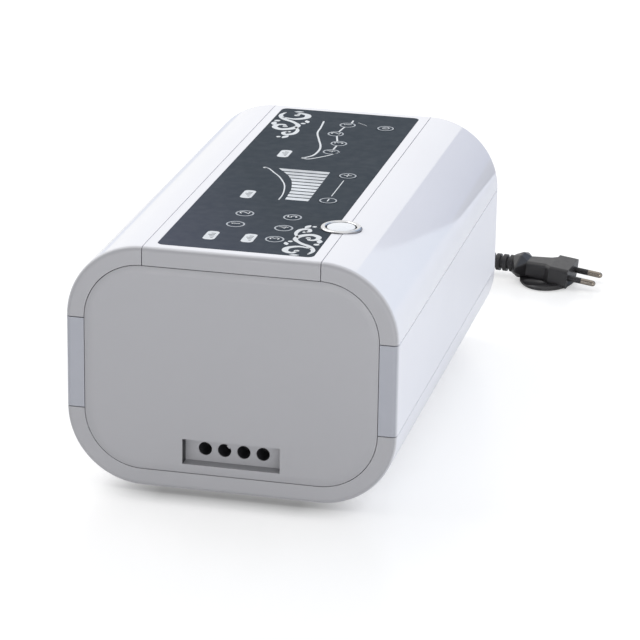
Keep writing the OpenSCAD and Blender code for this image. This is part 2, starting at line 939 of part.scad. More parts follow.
module pump_frame() {
    size = pump_frame_size;
    color(metal)
        pump_place()
            difference() {
                union() {
                    translate([-size[0] / 2, -size[1] / 2, pump_base_z])
                        cube([size[0], size[1], frame_t]);
                    for (x = [-1, 1])
                        translate([x * (frame_half - frame_t / 2) - frame_t / 2, -size[1] / 2, pump_base_z])
                            cube([frame_t, size[1], size[2]]);
                    for (m = [0, 1])
                        mirror([0, m, 0])
                            translate([-core_len / 2, core_front + core_depth - leg_w, pump_base_z])
                                cube([core_len, leg_w, pump_axis_z - core_half_z - pump_base_z]);
                }
                for (x = [-1, 1])
                    x_disc(x * (frame_half - frame_t / 2), bore_r, frame_t + 2);
                for (p = mount_spots)
                    translate([p[0], p[1], pump_base_z - 1])
                        cylinder(r = mount_r - 2 + fit_gap, h = frame_t + 2);
            }
}

module pump_mounts() {
    color(rubber)
        pump_place()
            for (p = mount_spots)
                translate([p[0], p[1], pump_base_z - mount_h]) {
                    cylinder(r = mount_r, h = mount_h);
                    cylinder(r = mount_r - 2, h = mount_h + frame_t);
                    translate([0, 0, mount_h + frame_t])
                        cylinder(r = mount_r - 1, h = 1.5);
                }
}

// E-shaped stack of laminations on each side of the armature
module magnet_cores() {
    color([0.45, 0.46, 0.48])
        pump_place()
            for (m = [0, 1])
                mirror([0, m, 0])
                    translate([0, core_front, pump_axis_z - core_half_z])
                        linear_extrude(2 * core_half_z)
                            e_outline();
}

module e_outline() {
    translate([-core_len / 2, core_depth - leg_w])
        square([core_len, leg_w]);
    for (x = [-1, 0, 1])
        translate([x * (core_len - leg_w) / 2 - leg_w / 2, 0])
            square([leg_w, core_depth]);
}

module pump_coils() {
    room = (core_len - 3 * leg_w) / 2 - 1;
    len = core_depth - leg_w - 1;
    color(copper)
        pump_place()
            for (m = [0, 1])
                mirror([0, m, 0])
                    translate([0, core_front + 1, pump_axis_z])
                        rotate([-90, 0, 0])
                            linear_extrude(len)
                                difference() {
                                    round_rect([leg_w + 2 * room, 2 * core_half_z + 2 * room], 4);
                                    square([leg_w + 2 * fit_gap, 2 * (core_half_z + fit_gap)], center = true);
                                }
}

// Moving bar with its magnets, rods and clamping discs
module armature() {
    reach = head_in + 2;
    rod = reach - armature_bar[0] / 2;
    color(metal)
        pump_place() {
            translate([-armature_bar[0] / 2, -armature_bar[1] / 2, pump_axis_z - armature_bar[2] / 2])
                cube(armature_bar);
            for (x = [-1, 1]) {
                x_disc(x * (reach - rod / 2 - 1), rod_r, rod + 2);
                x_disc(x * (frame_half + diaphragm_t / 2), disc_r, diaphragm_t + 2);
            }
        }
}

module diaphragm() {
    hole = disc_r + rotor_gap;
    color(rubber)
        pump_place()
            translate([frame_half, 0, pump_axis_z])
                rotate([0, 90, 0])
                    rotate_extrude($fn = 64)
                        translate([hole, 0])
                            square([diaphragm_r - hole, diaphragm_t]);
}

module diaphragm_right() { diaphragm(); }
module diaphragm_left() { mirror([1, 0, 0]) diaphragm(); }

// Cover over a diaphragm, with its air chamber, outlet nipple and cooling ribs
module pump_head_right() {
    rib = 3;
    color([0.58, 0.59, 0.61])
        pump_place()
            difference() {
                union() {
                    translate([head_in, -head_half, pump_axis_z - head_half])
                        cube([head_len - rib, 2 * head_half, 2 * head_half]);
                    for (i = [-2:2])
                        translate([head_in, i * (head_half - rib / 2) / 2 - rib / 2, pump_axis_z - head_half])
                            cube([head_len, rib, 2 * head_half]);
                    translate([head_port_x, 0, pump_axis_z + head_half - 1])
                        nipple(nipple_len + 1);
                }
                x_disc(head_in + chamber_depth / 2 - 1, bore_r, chamber_depth + 2);
                translate([head_port_x, 0, pump_axis_z + bore_r / 2])
                    cylinder(d = nipple_bore, h = head_half);
            }
}

module pump_head_left() {
    mirror([1, 0, 0])
        pump_head_right();
}

// Air distributor ----------------------------------------------------------------------

module dist_place(z) {
    translate([dist_pos[0], dist_pos[1], z])
        children();
}

module distributor_body() {
    color(print_white)
        dist_place(0)
            difference() {
                union() {
                    translate([0, 0, dist_z])
                        cylinder(r = dist_r, h = dist_h, $fn = 96);
                    for (a = outlet_angles)
                        rotate([0, 0, a])
                            translate([dist_r - 1, 0, outlet_z])
                                rotate([0, 90, 0])
                                    nipple(nipple_len + 1);
                }
                translate([0, 0, dist_z + dist_floor])
                    cylinder(r = dist_r - dist_wall, h = dist_h, $fn = 96);
                translate([0, 0, dist_z - 1])
                    cylinder(r = shaft_r + shaft_fit, h = dist_floor + 2);
                for (a = outlet_angles)
                    rotate([0, 0, a])
                        translate([dist_r - dist_wall - 2, 0, outlet_z])
                            rotate([0, 90, 0])
                                cylinder(d = nipple_bore, h = dist_wall + 4);
                for (a = cover_screw_angles)
                    rotate([0, 0, a])
                        translate([dist_r - dist_wall / 2, 0, dist_top - small_screw_len])
                            cylinder(r = small_screw_d / 2 + screw_fit, h = small_screw_len + 1);
            }
}

// Turning disc: its one radial air way feeds the outlets in turn
module distributor_rotor() {
    r = dist_r - dist_wall - rotor_gap;
    h = dist_h - dist_floor - 2 * rotor_gap;
    color([0.90, 0.55, 0.25])
        dist_place(0)
            difference() {
                union() {
                    translate([0, 0, dist_z + dist_floor + rotor_gap])
                        cylinder(r = r, h = h, $fn = 96);
                    translate([0, 0, dist_z - 7])
                        cylinder(r = shaft_r, h = dist_floor + 8);
                }
                translate([0, 0, outlet_z])
                    rotate([0, 90, -90])
                        cylinder(d = nipple_bore, h = r + 1);
                translate([0, 0, outlet_z])
                    cylinder(d = nipple_bore, h = h + 4);
            }
}

module distributor_cover() {
    color(print_white)
        dist_place(dist_top)
            difference() {
                union() {
                    cylinder(r = dist_r, h = cover_t, $fn = 96);
                    for (x = [-1, 1])
                        translate([x * inlet_x, 0, cover_t - 1])
                            nipple(nipple_len + 1);
                }
                translate([0, 0, -1])
                    cylinder(r = inlet_x + nipple_bore, h = 1 + cover_t / 2);
                for (x = [-1, 1])
                    translate([x * inlet_x, 0, 0])
                        cylinder(d = nipple_bore, h = 2 * cover_t);
                for (a = cover_screw_angles)
                    rotate([0, 0, a])
                        translate([dist_r - dist_wall / 2, 0, -1])
                            cylinder(r = small_screw_d / 2 + hole_gap, h = cover_t + 2);
            }
}

// Small screws of the distributor, its motor, the transformer and the keypad board
module inner_screws() {
    color(metal) {
        for (a = cover_screw_angles)
            dist_place(dist_top + cover_t)
                rotate([0, 0, a])
                    translate([dist_r - dist_wall / 2, 0, 0])
                        small_screw();
        for (x = [-ear_x, ear_x])
            dist_place(motor_z + ear_t)
                translate([x, 0, 0])
                    small_screw();
        for (x = [-transformer_ear, transformer_ear])
            translate([transformer_pos[0] + x, transformer_pos[1], floor_z + floor_boss_h + ear_t])
                small_screw();
        for (p = keypad_posts)
            translate([p[0], front + p[1], board_top - board_t])
                mirror([0, 0, 1])
                    small_screw();
    }
}

// Screw with its head on z = 0 and its shaft below
module small_screw() {
    cylinder(d = 2 * small_screw_d, h = 1.4);
    translate([0, 0, -small_screw_len + 1.6])
        cylinder(d = small_screw_d, h = small_screw_len - 1.6 + tiny);
}

module distributor_motor() {
    color(metal)
        dist_place(motor_z)
            difference() {
                union() {
                    cylinder(r = dist_r - 3, h = motor_h, $fn = 96);
                    translate([-ear_x - 4, -5, 0])
                        cube([2 * ear_x + 8, 10, ear_t]);
                    translate([0, 0, motor_h - tiny])
                        cylinder(r = shaft_r + 3, h = 1);
                }
                translate([0, 0, motor_h - 8])
                    cylinder(r = shaft_r + shaft_fit, h = 10);
                for (x = [-ear_x, ear_x])
                    translate([x, 0, -1])
                        cylinder(r = small_screw_d / 2 + hole_gap, h = ear_t + 2);
            }
}

// Tubes --------------------------------------------------------------------------------

// Tube along a path, with a socket at each end that sits over a nipple
module socket_tube(start, dir_a, finish, dir_b, pull, ref) {
    a = start - tube_grip * dir_a;
    b = finish - tube_grip * dir_b;
    path = concat([a], smooth_path(start, dir_a, finish, dir_b, pull, 10), [b]);
    difference() {
        swept_tube(path, tube_d / 2, cord_sides, ref);
        tube_socket(a, dir_a);
        tube_socket(b, dir_b);
    }
}

// Round seat at a tube's end, from the point a along the direction d
module tube_socket(a, d) {
    translate(a - d)
        rotate([0, acos(d[2]), atan2(d[1], d[0])])
            cylinder(d = nipple_d + 2 * fit_gap, h = tube_grip + 1 + fit_gap);
}

module outlet_tubes() {
    reach = dist_r + nipple_len;
    color(tube_clear)
        for (i = [0:3])
            socket_tube([dist_pos[0] + reach * cos(outlet_angles[i]),
                         dist_pos[1] + reach * sin(outlet_angles[i]), outlet_z],
                        [cos(outlet_angles[i]), sin(outlet_angles[i]), 0],
                        [ports[i], block_back + barb_len, recess_z], [0, 1, 0], 10, [0, 0, 1]);
}

module supply_tubes() {
    up = [0, 0, 1];
    end_z = dist_top + cover_t + nipple_len;
    color(tube_clear)
        for (x = [-1, 1])
            let (start = [pump_pos[0] + x * head_port_x, pump_pos[1], pump_axis_z + head_half + nipple_len],
                 finish = [dist_pos[0] + x * inlet_x, dist_pos[1], end_z],
                 run = unit([finish[0] - start[0], finish[1] - start[1], 0]))
            socket_tube(start, up, finish, up, 50, [-run[1], run[0], 0]);
}

// Electrics ----------------------------------------------------------------------------

module main_board() {
    color(board_green)
        translate([board_pos[0] - board_t / 2, board_pos[1] - board_size[0] / 2, board_z])
            cube([board_t, board_size[0], board_size[1]]);
}

// Capacitors, relays, connectors and the pressure sensor on the main board
module board_parts() {
    face = board_pos[0] - board_t / 2;
    color(black) {
        for (i = [0:3])
            translate([face - relay_size[0], board_pos[1] + relay_spot[0] + relay_pitch * i,
                       board_z + relay_spot[1]])
                cube(relay_size);
        translate([face - chip_size[0], board_pos[1] + chip_spot[0], board_z + chip_spot[1]])
            cube(chip_size);
    }
    color([0.2, 0.25, 0.45])
        for (i = [0:1])
            translate([face, board_pos[1] + capacitor_spot[0] + capacitor_pitch * i,
                       board_z + capacitor_spot[1]])
                rotate([0, -90, 0])
                    cylinder(r = capacitor_size[0], h = capacitor_size[1]);
    color(white)
        for (i = [0:2])
            translate([face - socket_size[0], board_pos[1] + socket_spot[0] + socket_pitch * i,
                       board_z + socket_spot[1]])
                cube(socket_size);
}

module transformer() {
    size = transformer_size;
    ear_len = 2 * transformer_ear + 8;
    translate([transformer_pos[0], transformer_pos[1], floor_z + floor_boss_h]) {
        color([0.45, 0.46, 0.48])
            translate([-size[0] / 2, -size[1] / 4, 0])
                cube([size[0], size[1] / 2, size[2]]);
        color(copper)
            translate([0, 0, size[2] / 2])
                rotate([90, 0, 0])
                    linear_extrude(size[1], center = true)
                        round_rect([size[0] * 0.62, size[2] * 0.56], 4);
        color(metal)
            difference() {
                translate([-ear_len / 2, -size[1] / 4 + 1, 0])
                    cube([ear_len, size[1] / 2 - 2, ear_t]);
                for (x = [-transformer_ear, transformer_ear])
                    translate([x, 0, -1])
                        cylinder(r = small_screw_d / 2 + hole_gap, h = ear_t + 2);
            }
    }
}

// Terminal block that takes the mains lead's wires
module mains_terminal() {
    translate(terminal_pos) {
        color(print_white)
            cube(terminal_size);
        color(metal)
            for (i = [1:3])
                translate([i * terminal_size[0] / 4, terminal_size[1] / 2, terminal_size[2] - tiny])
                    cylinder(r = 3, h = 1);
    }
}

// Mains lead ---------------------------------------------------------------------------

// Ribbed, tapered boot that grips the cord at the rear plate
module cord_gland() {
    flange_t = 3;
    ribs = 5;
    taper = boot_len - flange_t;
    rib_pitch = taper / ribs;
    color(black) {
        turned_y(gland_pos[0], rear_back - 5, gland_pos[1])
            square([gland_neck_r + 2, 5]);
        turned_y(gland_pos[0], rear_back - tiny, gland_pos[1])
            square([gland_neck_r, wall + 2 * tiny]);
        turned_y(gland_pos[0], rear_face, gland_pos[1])
            square([cord_r + 5, flange_t + rear_inset]);
        turned_y(gland_pos[0], half_l + flange_t, gland_pos[1])
            polygon([[0, 0], [cord_r + 2.6, 0], [cord_r + 0.7, taper], [0, taper]]);
        for (i = [0:ribs - 2])
            turned_y(gland_pos[0], half_l + flange_t + (i + 0.4) * rib_pitch, gland_pos[1])
                square([cord_r + 3 - 0.4 * i, rib_pitch / 2]);
    }
}

// Lead from the gland to the terminal block, and the wires on to the main board
module inner_leads() {
    gland_in = [gland_pos[0], rear_back - 5, gland_pos[1]];
    block_in = terminal_pos + [0, terminal_size[1] / 2, terminal_size[2] / 2];
    block_out = terminal_pos + [terminal_size[0], terminal_size[1] / 2, terminal_size[2] / 2];
    board_in = [board_pos[0] - board_t / 2, board_pos[1] + board_size[0] / 2 - lead_entry[0],
                board_z + lead_entry[1]];
    color(black)
        swept_tube(square_ended(gland_in, [0, -1, 0], block_in, [-1, 0, 0], lead_bends[0], 6), cord_r - 0.5,
                   cord_sides, [0, 0, 1]);
    for (i = [0, 1])
        let (shift = [0, lead_gap * (i - 0.5), 0], under = lead_under + [0.75 * lead_gap * (i - 0.5), 0, 0])
        color(i == 0 ? [0.45, 0.25, 0.12] : [0.15, 0.30, 0.65])
            swept_tube(concat(square_ended(block_out + shift, [1, 0, 0], under, [0, 1, 0],
                                           lead_bends[1], 6),
                              square_ended(under - [0, lead_run, 0], [0, -1, 0],
                                           board_in + shift, [-1, 0, 0], lead_bends[2], 8)),
                       lead_r, coil_sides, [0, 0, 1]);
}

module mains_cord_near() {
    color(black)
        swept_tube(near_route, cord_r, cord_sides, [1, 0, 0]);
}

module mains_cord_far() {
    color(black)
        swept_tube(concat(far_route, [plug_end()]), cord_r, cord_sides, [0, 0, 1]);
}

// Where the strain relief ends and the cord goes in
function plug_axis() = [cos(plug_turn[1]) * cos(plug_turn[2]), cos(plug_turn[1]) * sin(plug_turn[2]),
                        -sin(plug_turn[1])];
function plug_up() = [sin(plug_turn[1]) * cos(plug_turn[2]), sin(plug_turn[1]) * sin(plug_turn[2]),
                      cos(plug_turn[1])];
function plug_end() = plug_face - plug_len * plug_axis() - relief_drop * plug_up()
                      - relief_len * [cos(plug_turn[2]), sin(plug_turn[2]), 0];

// Coil: in along the lower layer, up in the half turn where it reverses, out along the upper
function climb(t) = let (u = max(0, min(1, (t - coil_turns / 2 + 0.25) / 0.5))) u * u * (3 - 2 * u);
function coil_point(t) =
    let (r = coil_r - coil_step * min(t, coil_turns - t), a = 180 - 360 * t)
    [coil_centre[0] + r * cos(a), coil_centre[1] + r * sin(a), cord_r + coil_step * climb(t)];
coil_steps = coil_turns * loop_rings;
coil_route = concat([[coil_centre[0] - coil_r, coil_centre[1] - cord_d, cord_r]],
                    [for (i = [0:coil_steps]) coil_point(i / loop_rings)],
                    [[coil_centre[0] + cord_d, coil_centre[1] + coil_r, cord_r + coil_step]]);

module mains_cord_coil() {
    gap = min([for (i = [0:coil_steps - 12]) for (j = [i + 12:coil_steps])
        norm(coil_point(i / loop_rings) - coil_point(j / loop_rings))]) - cord_d;
    echo(least_gap_of_the_coil = gap);
    color(black)
        swept_tube(coil_route, cord_r, coil_sides, [0, 0, 1]);
}

module plug_place() {
    translate(plug_face)
        rotate(plug_turn)
            children();
}

// What lies level under the tilted plug: its grip and its strain relief
module plug_level() {
    rotate([0, -plug_turn[1], 0])
        children();
}

// One slab of the plug's outline, a round-cornered section 1 mm thick
module plug_slab(x, z, size, corner) {
    translate([x, 0, z])
        rotate([0, 90, 0])
            linear_extrude(1)
                round_rect([size[1], size[0]], corner);
}

// Flat-topped waist between the head's step and the wings, tapering to the rear
module plug_neck() {
    neck_x = -plug_head[1] - 4;
    wing_x = -plug_len + 3.5;
    tip_r = plug_wing[1] / 2 - 0.1;
    rear_size = plug_waist - [4, 1.5];
    wing_size = [plug_waist[0] - 4, plug_waist[1] + 3];
    hull() {
        plug_slab(-plug_head[1] - 0.5, 0, [plug_head[0] - 5, plug_head[2] - 1.4], 3);
        plug_slab(neck_x, -0.75, plug_waist, 3);
    }
    hull() {
        plug_slab(neck_x, -0.75, plug_waist, 3);
        plug_slab(wing_x + 5, -1.75, rear_size, 3);
    }
    hull() {
        plug_slab(wing_x + 5, -1.75, rear_size, 3);
        plug_slab(wing_x, 0, plug_wing, tip_r);
        plug_slab(wing_x, -1.5, wing_size, 5);
    }
    hull() {
        plug_slab(wing_x, 0, plug_wing, tip_r);
        plug_slab(wing_x, -1.5, wing_size, 5);
        plug_slab(-plug_len - 1, -relief_drop, [relief_d + 1, relief_d + 1], relief_d / 2);
    }
}

// Oval grip the plug rests on, rounded over at its rim
module plug_oval() {
    translate([0, 0, -plug_face[2]] + grip_place)
        hull()
            for (rise = [0, 1])
                scale([plug_grip[0] - rise, plug_grip[1] - rise, 1])
                    translate([0, 0, 0.9 * (1 - rise)])
                        cylinder(r = 1, h = plug_grip[2] - 1.8 * (1 - rise), $fn = 64);
}

// Moulded plug: stepped head, flat waist, wings, oval grip with finger dishes, ribbed strain relief
module plug_body() {
    color(black)
        plug_place() {
            difference() {
                union() {
                    translate([-plug_head[1], 0, 0])
                        rotate([0, 90, 0])
                            linear_extrude(plug_head[1])
                                round_rect([plug_head[2], plug_head[0]], 3);
                    for (y = [-1, 1])
                        translate([-tiny, y * pin_pitch / 2, 0])
                            rotate([0, 90, 0])
                                cylinder(d = pin_d, h = sleeve_len);
                    plug_neck();
                    plug_level()
                        plug_oval();
                }
                plug_level()
                    for (y = [-1, 1])
                        translate([0, 0, plug_grip[2] - plug_face[2]] + grip_place
                                  + [grip_dish_place[0], y * grip_dish_place[1], grip_dish_place[2]])
                            scale(grip_dish)
                                sphere(r = 1, $fn = 48);
                for (y = [-1, 1])
                    translate([-pin_root, y * pin_pitch / 2, 0])
                        rotate([0, 90, 0])
                            cylinder(r = pin_core_r + screw_fit, h = pin_root + sleeve_len + 1);
            }
            plug_relief();
        }
}

// Ribbed strain relief, level behind the tilted plug
module plug_relief() {
    pitch = relief_len / relief_ribs;
    translate([-plug_len, 0, -relief_drop])
        plug_level()
            translate([-relief_len, 0, 0])
                rotate([0, 90, 0]) {
                    cylinder(r = cord_r + 0.9, h = relief_len + 2);
                    for (i = [0:relief_ribs - 1])
                        translate([0, 0, (i + 0.3) * pitch])
                            cylinder(d = relief_d, h = 0.55 * pitch);
                }
}

module plug_pins() {
    color(metal)
        plug_place()
            for (y = [-1, 1])
                translate([0, y * pin_pitch / 2, 0])
                    rotate([0, 90, 0]) {
                        translate([0, 0, -pin_root + 1])
                            cylinder(r = pin_core_r, h = pin_root + sleeve_len);
                        translate([0, 0, sleeve_len])
                            cylinder(d = pin_d, h = pin_len - sleeve_len - pin_d / 2);
                        translate([0, 0, pin_len - pin_d / 2])
                            sphere(d = pin_d);
                    }
}

lower_shell();
left_side_panel();
right_side_panel();
upper_left_shell();
upper_right_shell();
top_panel();
front_plate();
rear_plate();
rear_screws();
feet();
outlet_block();
control_overlay();
key_power();
key_plus();
key_minus();
key_zone_1();
key_zone_2();
key_zone_3();
key_zone_4();
key_program_1();
key_program_2();
key_program_3();
key_program_4();
key_program_5();
keypad_board();
dome_switches();
push_button();
button_ring();
push_switch();
pump_frame();
pump_mounts();
magnet_cores();
pump_coils();
armature();
diaphragm_left();
diaphragm_right();
pump_head_left();
pump_head_right();
distributor_body();
distributor_rotor();
distributor_cover();
distributor_motor();
inner_screws();
supply_tubes();
outlet_tubes();
main_board();
board_parts();
transformer();
mains_terminal();
inner_leads();
cord_gland();
mains_cord_near();
mains_cord_coil();
mains_cord_far();
plug_body();
plug_pins();
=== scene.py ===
"""Looks of the compression therapy pump: materials, prints, cord and light round the CAD frame.

Lengths are millimetres in the part's own frame, save for the camera and the lights, which are in
metres. Everything that Blender gets is in metres.
"""

import json
import math

import bmesh
import bpy
from mathutils import Matrix, Vector


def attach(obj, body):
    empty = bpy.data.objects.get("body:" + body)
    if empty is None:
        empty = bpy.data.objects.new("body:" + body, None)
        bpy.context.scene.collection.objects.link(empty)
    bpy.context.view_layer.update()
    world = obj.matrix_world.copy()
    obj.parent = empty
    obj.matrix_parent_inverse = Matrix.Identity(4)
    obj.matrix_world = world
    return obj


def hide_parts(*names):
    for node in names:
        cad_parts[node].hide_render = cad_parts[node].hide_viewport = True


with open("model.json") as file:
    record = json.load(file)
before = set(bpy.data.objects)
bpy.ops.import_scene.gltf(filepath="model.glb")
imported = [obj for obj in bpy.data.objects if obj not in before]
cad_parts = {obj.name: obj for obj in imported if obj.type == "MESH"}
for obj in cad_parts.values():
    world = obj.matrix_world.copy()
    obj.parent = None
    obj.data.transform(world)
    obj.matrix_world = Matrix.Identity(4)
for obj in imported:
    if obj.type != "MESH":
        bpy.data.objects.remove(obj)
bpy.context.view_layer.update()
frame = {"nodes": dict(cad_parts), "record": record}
NODES = frame["nodes"]
MM = 0.001
ROOT = "housing"


# Camera ------------------------------------------------------------------------------------------

CAMERA_PLACE = (0.411725, -1.724871, 0.677877)
CAMERA_YAW, CAMERA_PITCH, CAMERA_ROLL = 0.22552884, 0.3374523, -0.01565529
LENS, SENSOR = 175.561, 36.0
SHIFT_X, SHIFT_Y = -0.001478, -0.000595


def make_camera():
    """Camera that sees the part as the photograph does."""
    yaw, pitch, roll = CAMERA_YAW, CAMERA_PITCH, CAMERA_ROLL
    forward = Vector((-math.sin(yaw) * math.cos(pitch), math.cos(yaw) * math.cos(pitch),
                      -math.sin(pitch)))
    right = Vector((math.cos(yaw), math.sin(yaw), 0.0))
    down = forward.cross(right)
    axis_x = math.cos(roll) * right + math.sin(roll) * down
    axis_y = math.sin(roll) * right - math.cos(roll) * down
    camera = bpy.data.objects.new("camera", bpy.data.cameras.new("camera"))
    bpy.context.scene.collection.objects.link(camera)
    camera.data.lens, camera.data.sensor_width = LENS, SENSOR
    camera.data.shift_x, camera.data.shift_y = SHIFT_X, SHIFT_Y
    turn = Matrix((axis_x, axis_y, -forward)).transposed().to_4x4()
    camera.matrix_world = Matrix.Translation(CAMERA_PLACE) @ turn
    bpy.context.scene.camera = camera


make_camera()


# Node trees --------------------------------------------------------------------------------------

# Sockets of a Mix node that mixes colours
MIX_FACTOR, MIX_A, MIX_B, MIX_RESULT = 0, 6, 7, 2
# The part of a noise's values that is laid out over a range
NOISE_LOW, NOISE_HIGH = 0.3, 0.7


class Tree:
    """A node tree with short calls to add and link nodes."""

    def __init__(self, tree):
        self.tree = tree

    def add(self, kind, **values):
        made = self.tree.nodes.new(kind)
        for key, value in values.items():
            setattr(made, key, value)
        return made

    def link(self, a, b):
        self.tree.links.new(a, b)

    def feed(self, socket, value):
        """Give a socket a plain value, or link another socket to it."""
        if isinstance(value, bpy.types.NodeSocket):
            self.link(value, socket)
        else:
            socket.default_value = value

    def filled(self, node, values):
        """The node with its first sockets fed."""
        for socket, value in zip(node.inputs, values):
            self.feed(socket, value)
        return node

    def math(self, operation, *values):
        return self.filled(self.add("ShaderNodeMath", operation=operation), values).outputs[0]

    def vector(self, operation, *values):
        """Outputs of a vector sum: Vector, or Value for a length or a dot product."""
        return self.filled(self.add("ShaderNodeVectorMath", operation=operation), values).outputs

    def mix(self, factor, a, b):
        """Shader a where the factor is 0 and b where it is 1."""
        return self.filled(self.add("ShaderNodeMixShader"), (factor, a, b)).outputs[0]

    def blend(self, factor, a, b):
        """Colour a where the factor is 0 and b where it is 1."""
        node = self.add("ShaderNodeMix", data_type="RGBA")
        for index, value in ((MIX_FACTOR, factor), (MIX_A, a), (MIX_B, b)):
            self.feed(node.inputs[index], value)
        return node.outputs[MIX_RESULT]

    def spread(self, value, low, high, start, end, **kind):
        """The value between start and end, laid out from low to high."""
        node = self.add("ShaderNodeMapRange", **kind)
        for key, number in (("From Min", start), ("From Max", end),
                            ("To Min", low), ("To Max", high)):
            node.inputs[key].default_value = number
        self.link(value, node.inputs["Value"])
        return node.outputs["Result"]


class Surface(Tree):
    """The node tree of a new material."""

    def __init__(self, name):
        self.material = bpy.data.materials.new(name)
        self.material.use_nodes = True
        super().__init__(self.material.node_tree)
        self.shader = self.tree.nodes["Principled BSDF"]
        self.place = self.add("ShaderNodeTexCoord").outputs["Object"]

    def axes(self):
        """X, Y and Z of the place."""
        return self.filled(self.add("ShaderNodeSeparateXYZ"), (self.place,)).outputs

    def along(self, value, start, end, low=0.0, high=1.0):
        """From low to high as a length goes from start to end, in millimetres."""
        return self.spread(value, low, high, start * MM, end * MM)

    def noise(self, scale, detail=3.0, roughness=0.5, stretch=None):
        """Noise of so many cells in a metre."""
        texture = self.add("ShaderNodeTexNoise")
        for key, number in (("Scale", scale), ("Detail", detail), ("Roughness", roughness)):
            texture.inputs[key].default_value = number
        source = self.place
        if stretch:
            mapping = self.add("ShaderNodeMapping")
            mapping.inputs["Scale"].default_value = stretch
            self.link(source, mapping.inputs["Vector"])
            source = mapping.outputs["Vector"]
        self.link(source, texture.inputs["Vector"])
        return texture.outputs["Fac"]

    def cloud(self, low, high, scale, *kind):
        """Noise laid out from low to high."""
        return self.spread(self.noise(scale, *kind), low, high, NOISE_LOW, NOISE_HIGH)

    def bump(self, height, depth, under=None):
        """Normal of a relief of this depth in millimetres, over the normal under it."""
        node = self.add("ShaderNodeBump")
        node.inputs["Distance"].default_value = depth * MM
        self.link(height, node.inputs["Height"])
        if under is not None:
            self.link(under, node.inputs["Normal"])
        return node.outputs["Normal"]

    def dress(self, colour, roughness, normal, **others):
        """Feed the shader and return the material; the others are written with _ for a space."""
        sockets = {"Base Color": colour, "Roughness": roughness, "Normal": normal}
        sockets.update({key.replace("_", " "): value for key, value in others.items()})
        for key, value in sockets.items():
            self.feed(self.shader.inputs[key], value)
        return self.material


# Materials ---------------------------------------------------------------------------------------

def srgb(r, g, b):
    """Linear colour of an 8-bit sRGB colour."""
    def linear(v):
        v /= 255
        return v / 12.92 if v <= 0.04045 else ((v + 0.055) / 1.055) ** 2.4
    return (linear(r), linear(g), linear(b), 1.0)


def shade(colour, factor):
    """The colour, lighter or darker by a factor."""
    return tuple(min(1.0, c * factor) for c in colour[:3]) + (1.0,)


# Noise of the mottle; detail and roughness of the noises for gloss and grain; how much coarser the
# gloss is than the grain, and how far it goes up and down
MOTTLE_NOISE, GLOSS_NOISE, GRAIN_NOISE = (35.0, 4.0, 0.6), (3.0, 0.6), (2.0, 0.5)
GLOSS_COARSER, GLOSS_SHARE, COAT_ROUGHNESS = 6, 0.12, 0.08


def moulded(name, colour, roughness, grain, depth, mottle, metallic=0.0, coat=0.0, stretch=None):
    """Moulded or machined surface: faint cloudy colour, fine grain in relief and in gloss."""
    g = Surface(name)
    return g.dress(
        g.blend(g.cloud(0.0, 1.0, *MOTTLE_NOISE), shade(colour, 1 - mottle),
                shade(colour, 1 + mottle)),
        g.cloud(roughness * (1 - GLOSS_SHARE), roughness * (1 + GLOSS_SHARE),
                grain / GLOSS_COARSER, *GLOSS_NOISE, stretch),
        g.bump(g.noise(grain, *GRAIN_NOISE, stretch), depth),
        Metallic=metallic, Coat_Weight=coat, Coat_Roughness=COAT_ROUGHNESS)


WHITE = srgb(243, 243, 248)
GREY, GREY_CLOUD = srgb(150, 150, 154), srgb(120, 120, 124)
SIDE_GREY = srgb(149, 151, 159)
# Where the shells' grey front rim fades out along Y, and its roughness
GREY_START, GREY_END, GREY_ROUGHNESS = -153.4, -150.9, 0.42
# Shells: shades of the white and the grey, noise between them, noise and depth of their waves
WHITE_SHADES, GREY_SHADES, SHELL_NOISE = (0.985, 1.0), (0.98, 1.02), 18.0
WAVE_NOISE, WAVE_DEPTH = (9.0, 1.0), 0.06


def shell_material(name, gloss, specular, front=GREY):
    """White shell whose front rim is grey, with a soft change between the two round the edge."""
    g = Surface(name)
    rim = g.along(g.axes()["Y"], GREY_START, GREY_END, 1.0, 0.0)
    cloud = g.cloud(0.0, 1.0, SHELL_NOISE)
    white = g.blend(cloud, *(shade(WHITE, factor) for factor in WHITE_SHADES))
    grey = g.blend(cloud, *(shade(front, factor) for factor in GREY_SHADES))
    return g.dress(g.blend(rim, white, grey), g.spread(rim, gloss, GREY_ROUGHNESS, 0.0, 1.0),
                   g.bump(g.noise(*WAVE_NOISE), WAVE_DEPTH),
                   Specular_IOR_Level=specular)


# Front plate: middle and flat half size along X and Z, radius of its corners, width and drop of
# the fall along its rim, and the power of its curve
PLATE_MIDDLE, PLATE_FLAT, PLATE_CORNER = (0.0, 74.0), (51.0, 27.0), 33.5
CROWN_WIDTH, CROWN_DROP, CROWN_POWER = 5.5, 0.9, 2.0


def crown(g):
    """Normal of the front plate, whose face falls off softly along its rim."""
    place = g.axes()
    rim = g.add("ShaderNodeCombineXYZ")
    for axis, middle, flat in zip("XZ", PLATE_MIDDLE, PLATE_FLAT):
        off = g.math("ABSOLUTE", g.math("SUBTRACT", place[axis], middle * MM))
        g.link(g.math("MAXIMUM", g.math("SUBTRACT", off, flat * MM), 0.0), rim.inputs[axis])
    fall = g.along(g.vector("LENGTH", rim.outputs[0])["Value"],
                   PLATE_CORNER - CROWN_WIDTH, PLATE_CORNER)
    return g.bump(g.math("MULTIPLY", g.math("POWER", fall, CROWN_POWER), -1.0), CROWN_DROP)


# Grey mouldings: share and noise of their clouds, noise of their gloss, noise and depth of their
# grain
CLOUD_SHARE, CLOUD_NOISE, SHINE_NOISE = 0.04, (14.0, 4.0, 0.6), 160.0
MOULD_NOISE, MOULD_DEPTH = (1100.0, 2.0), 0.02


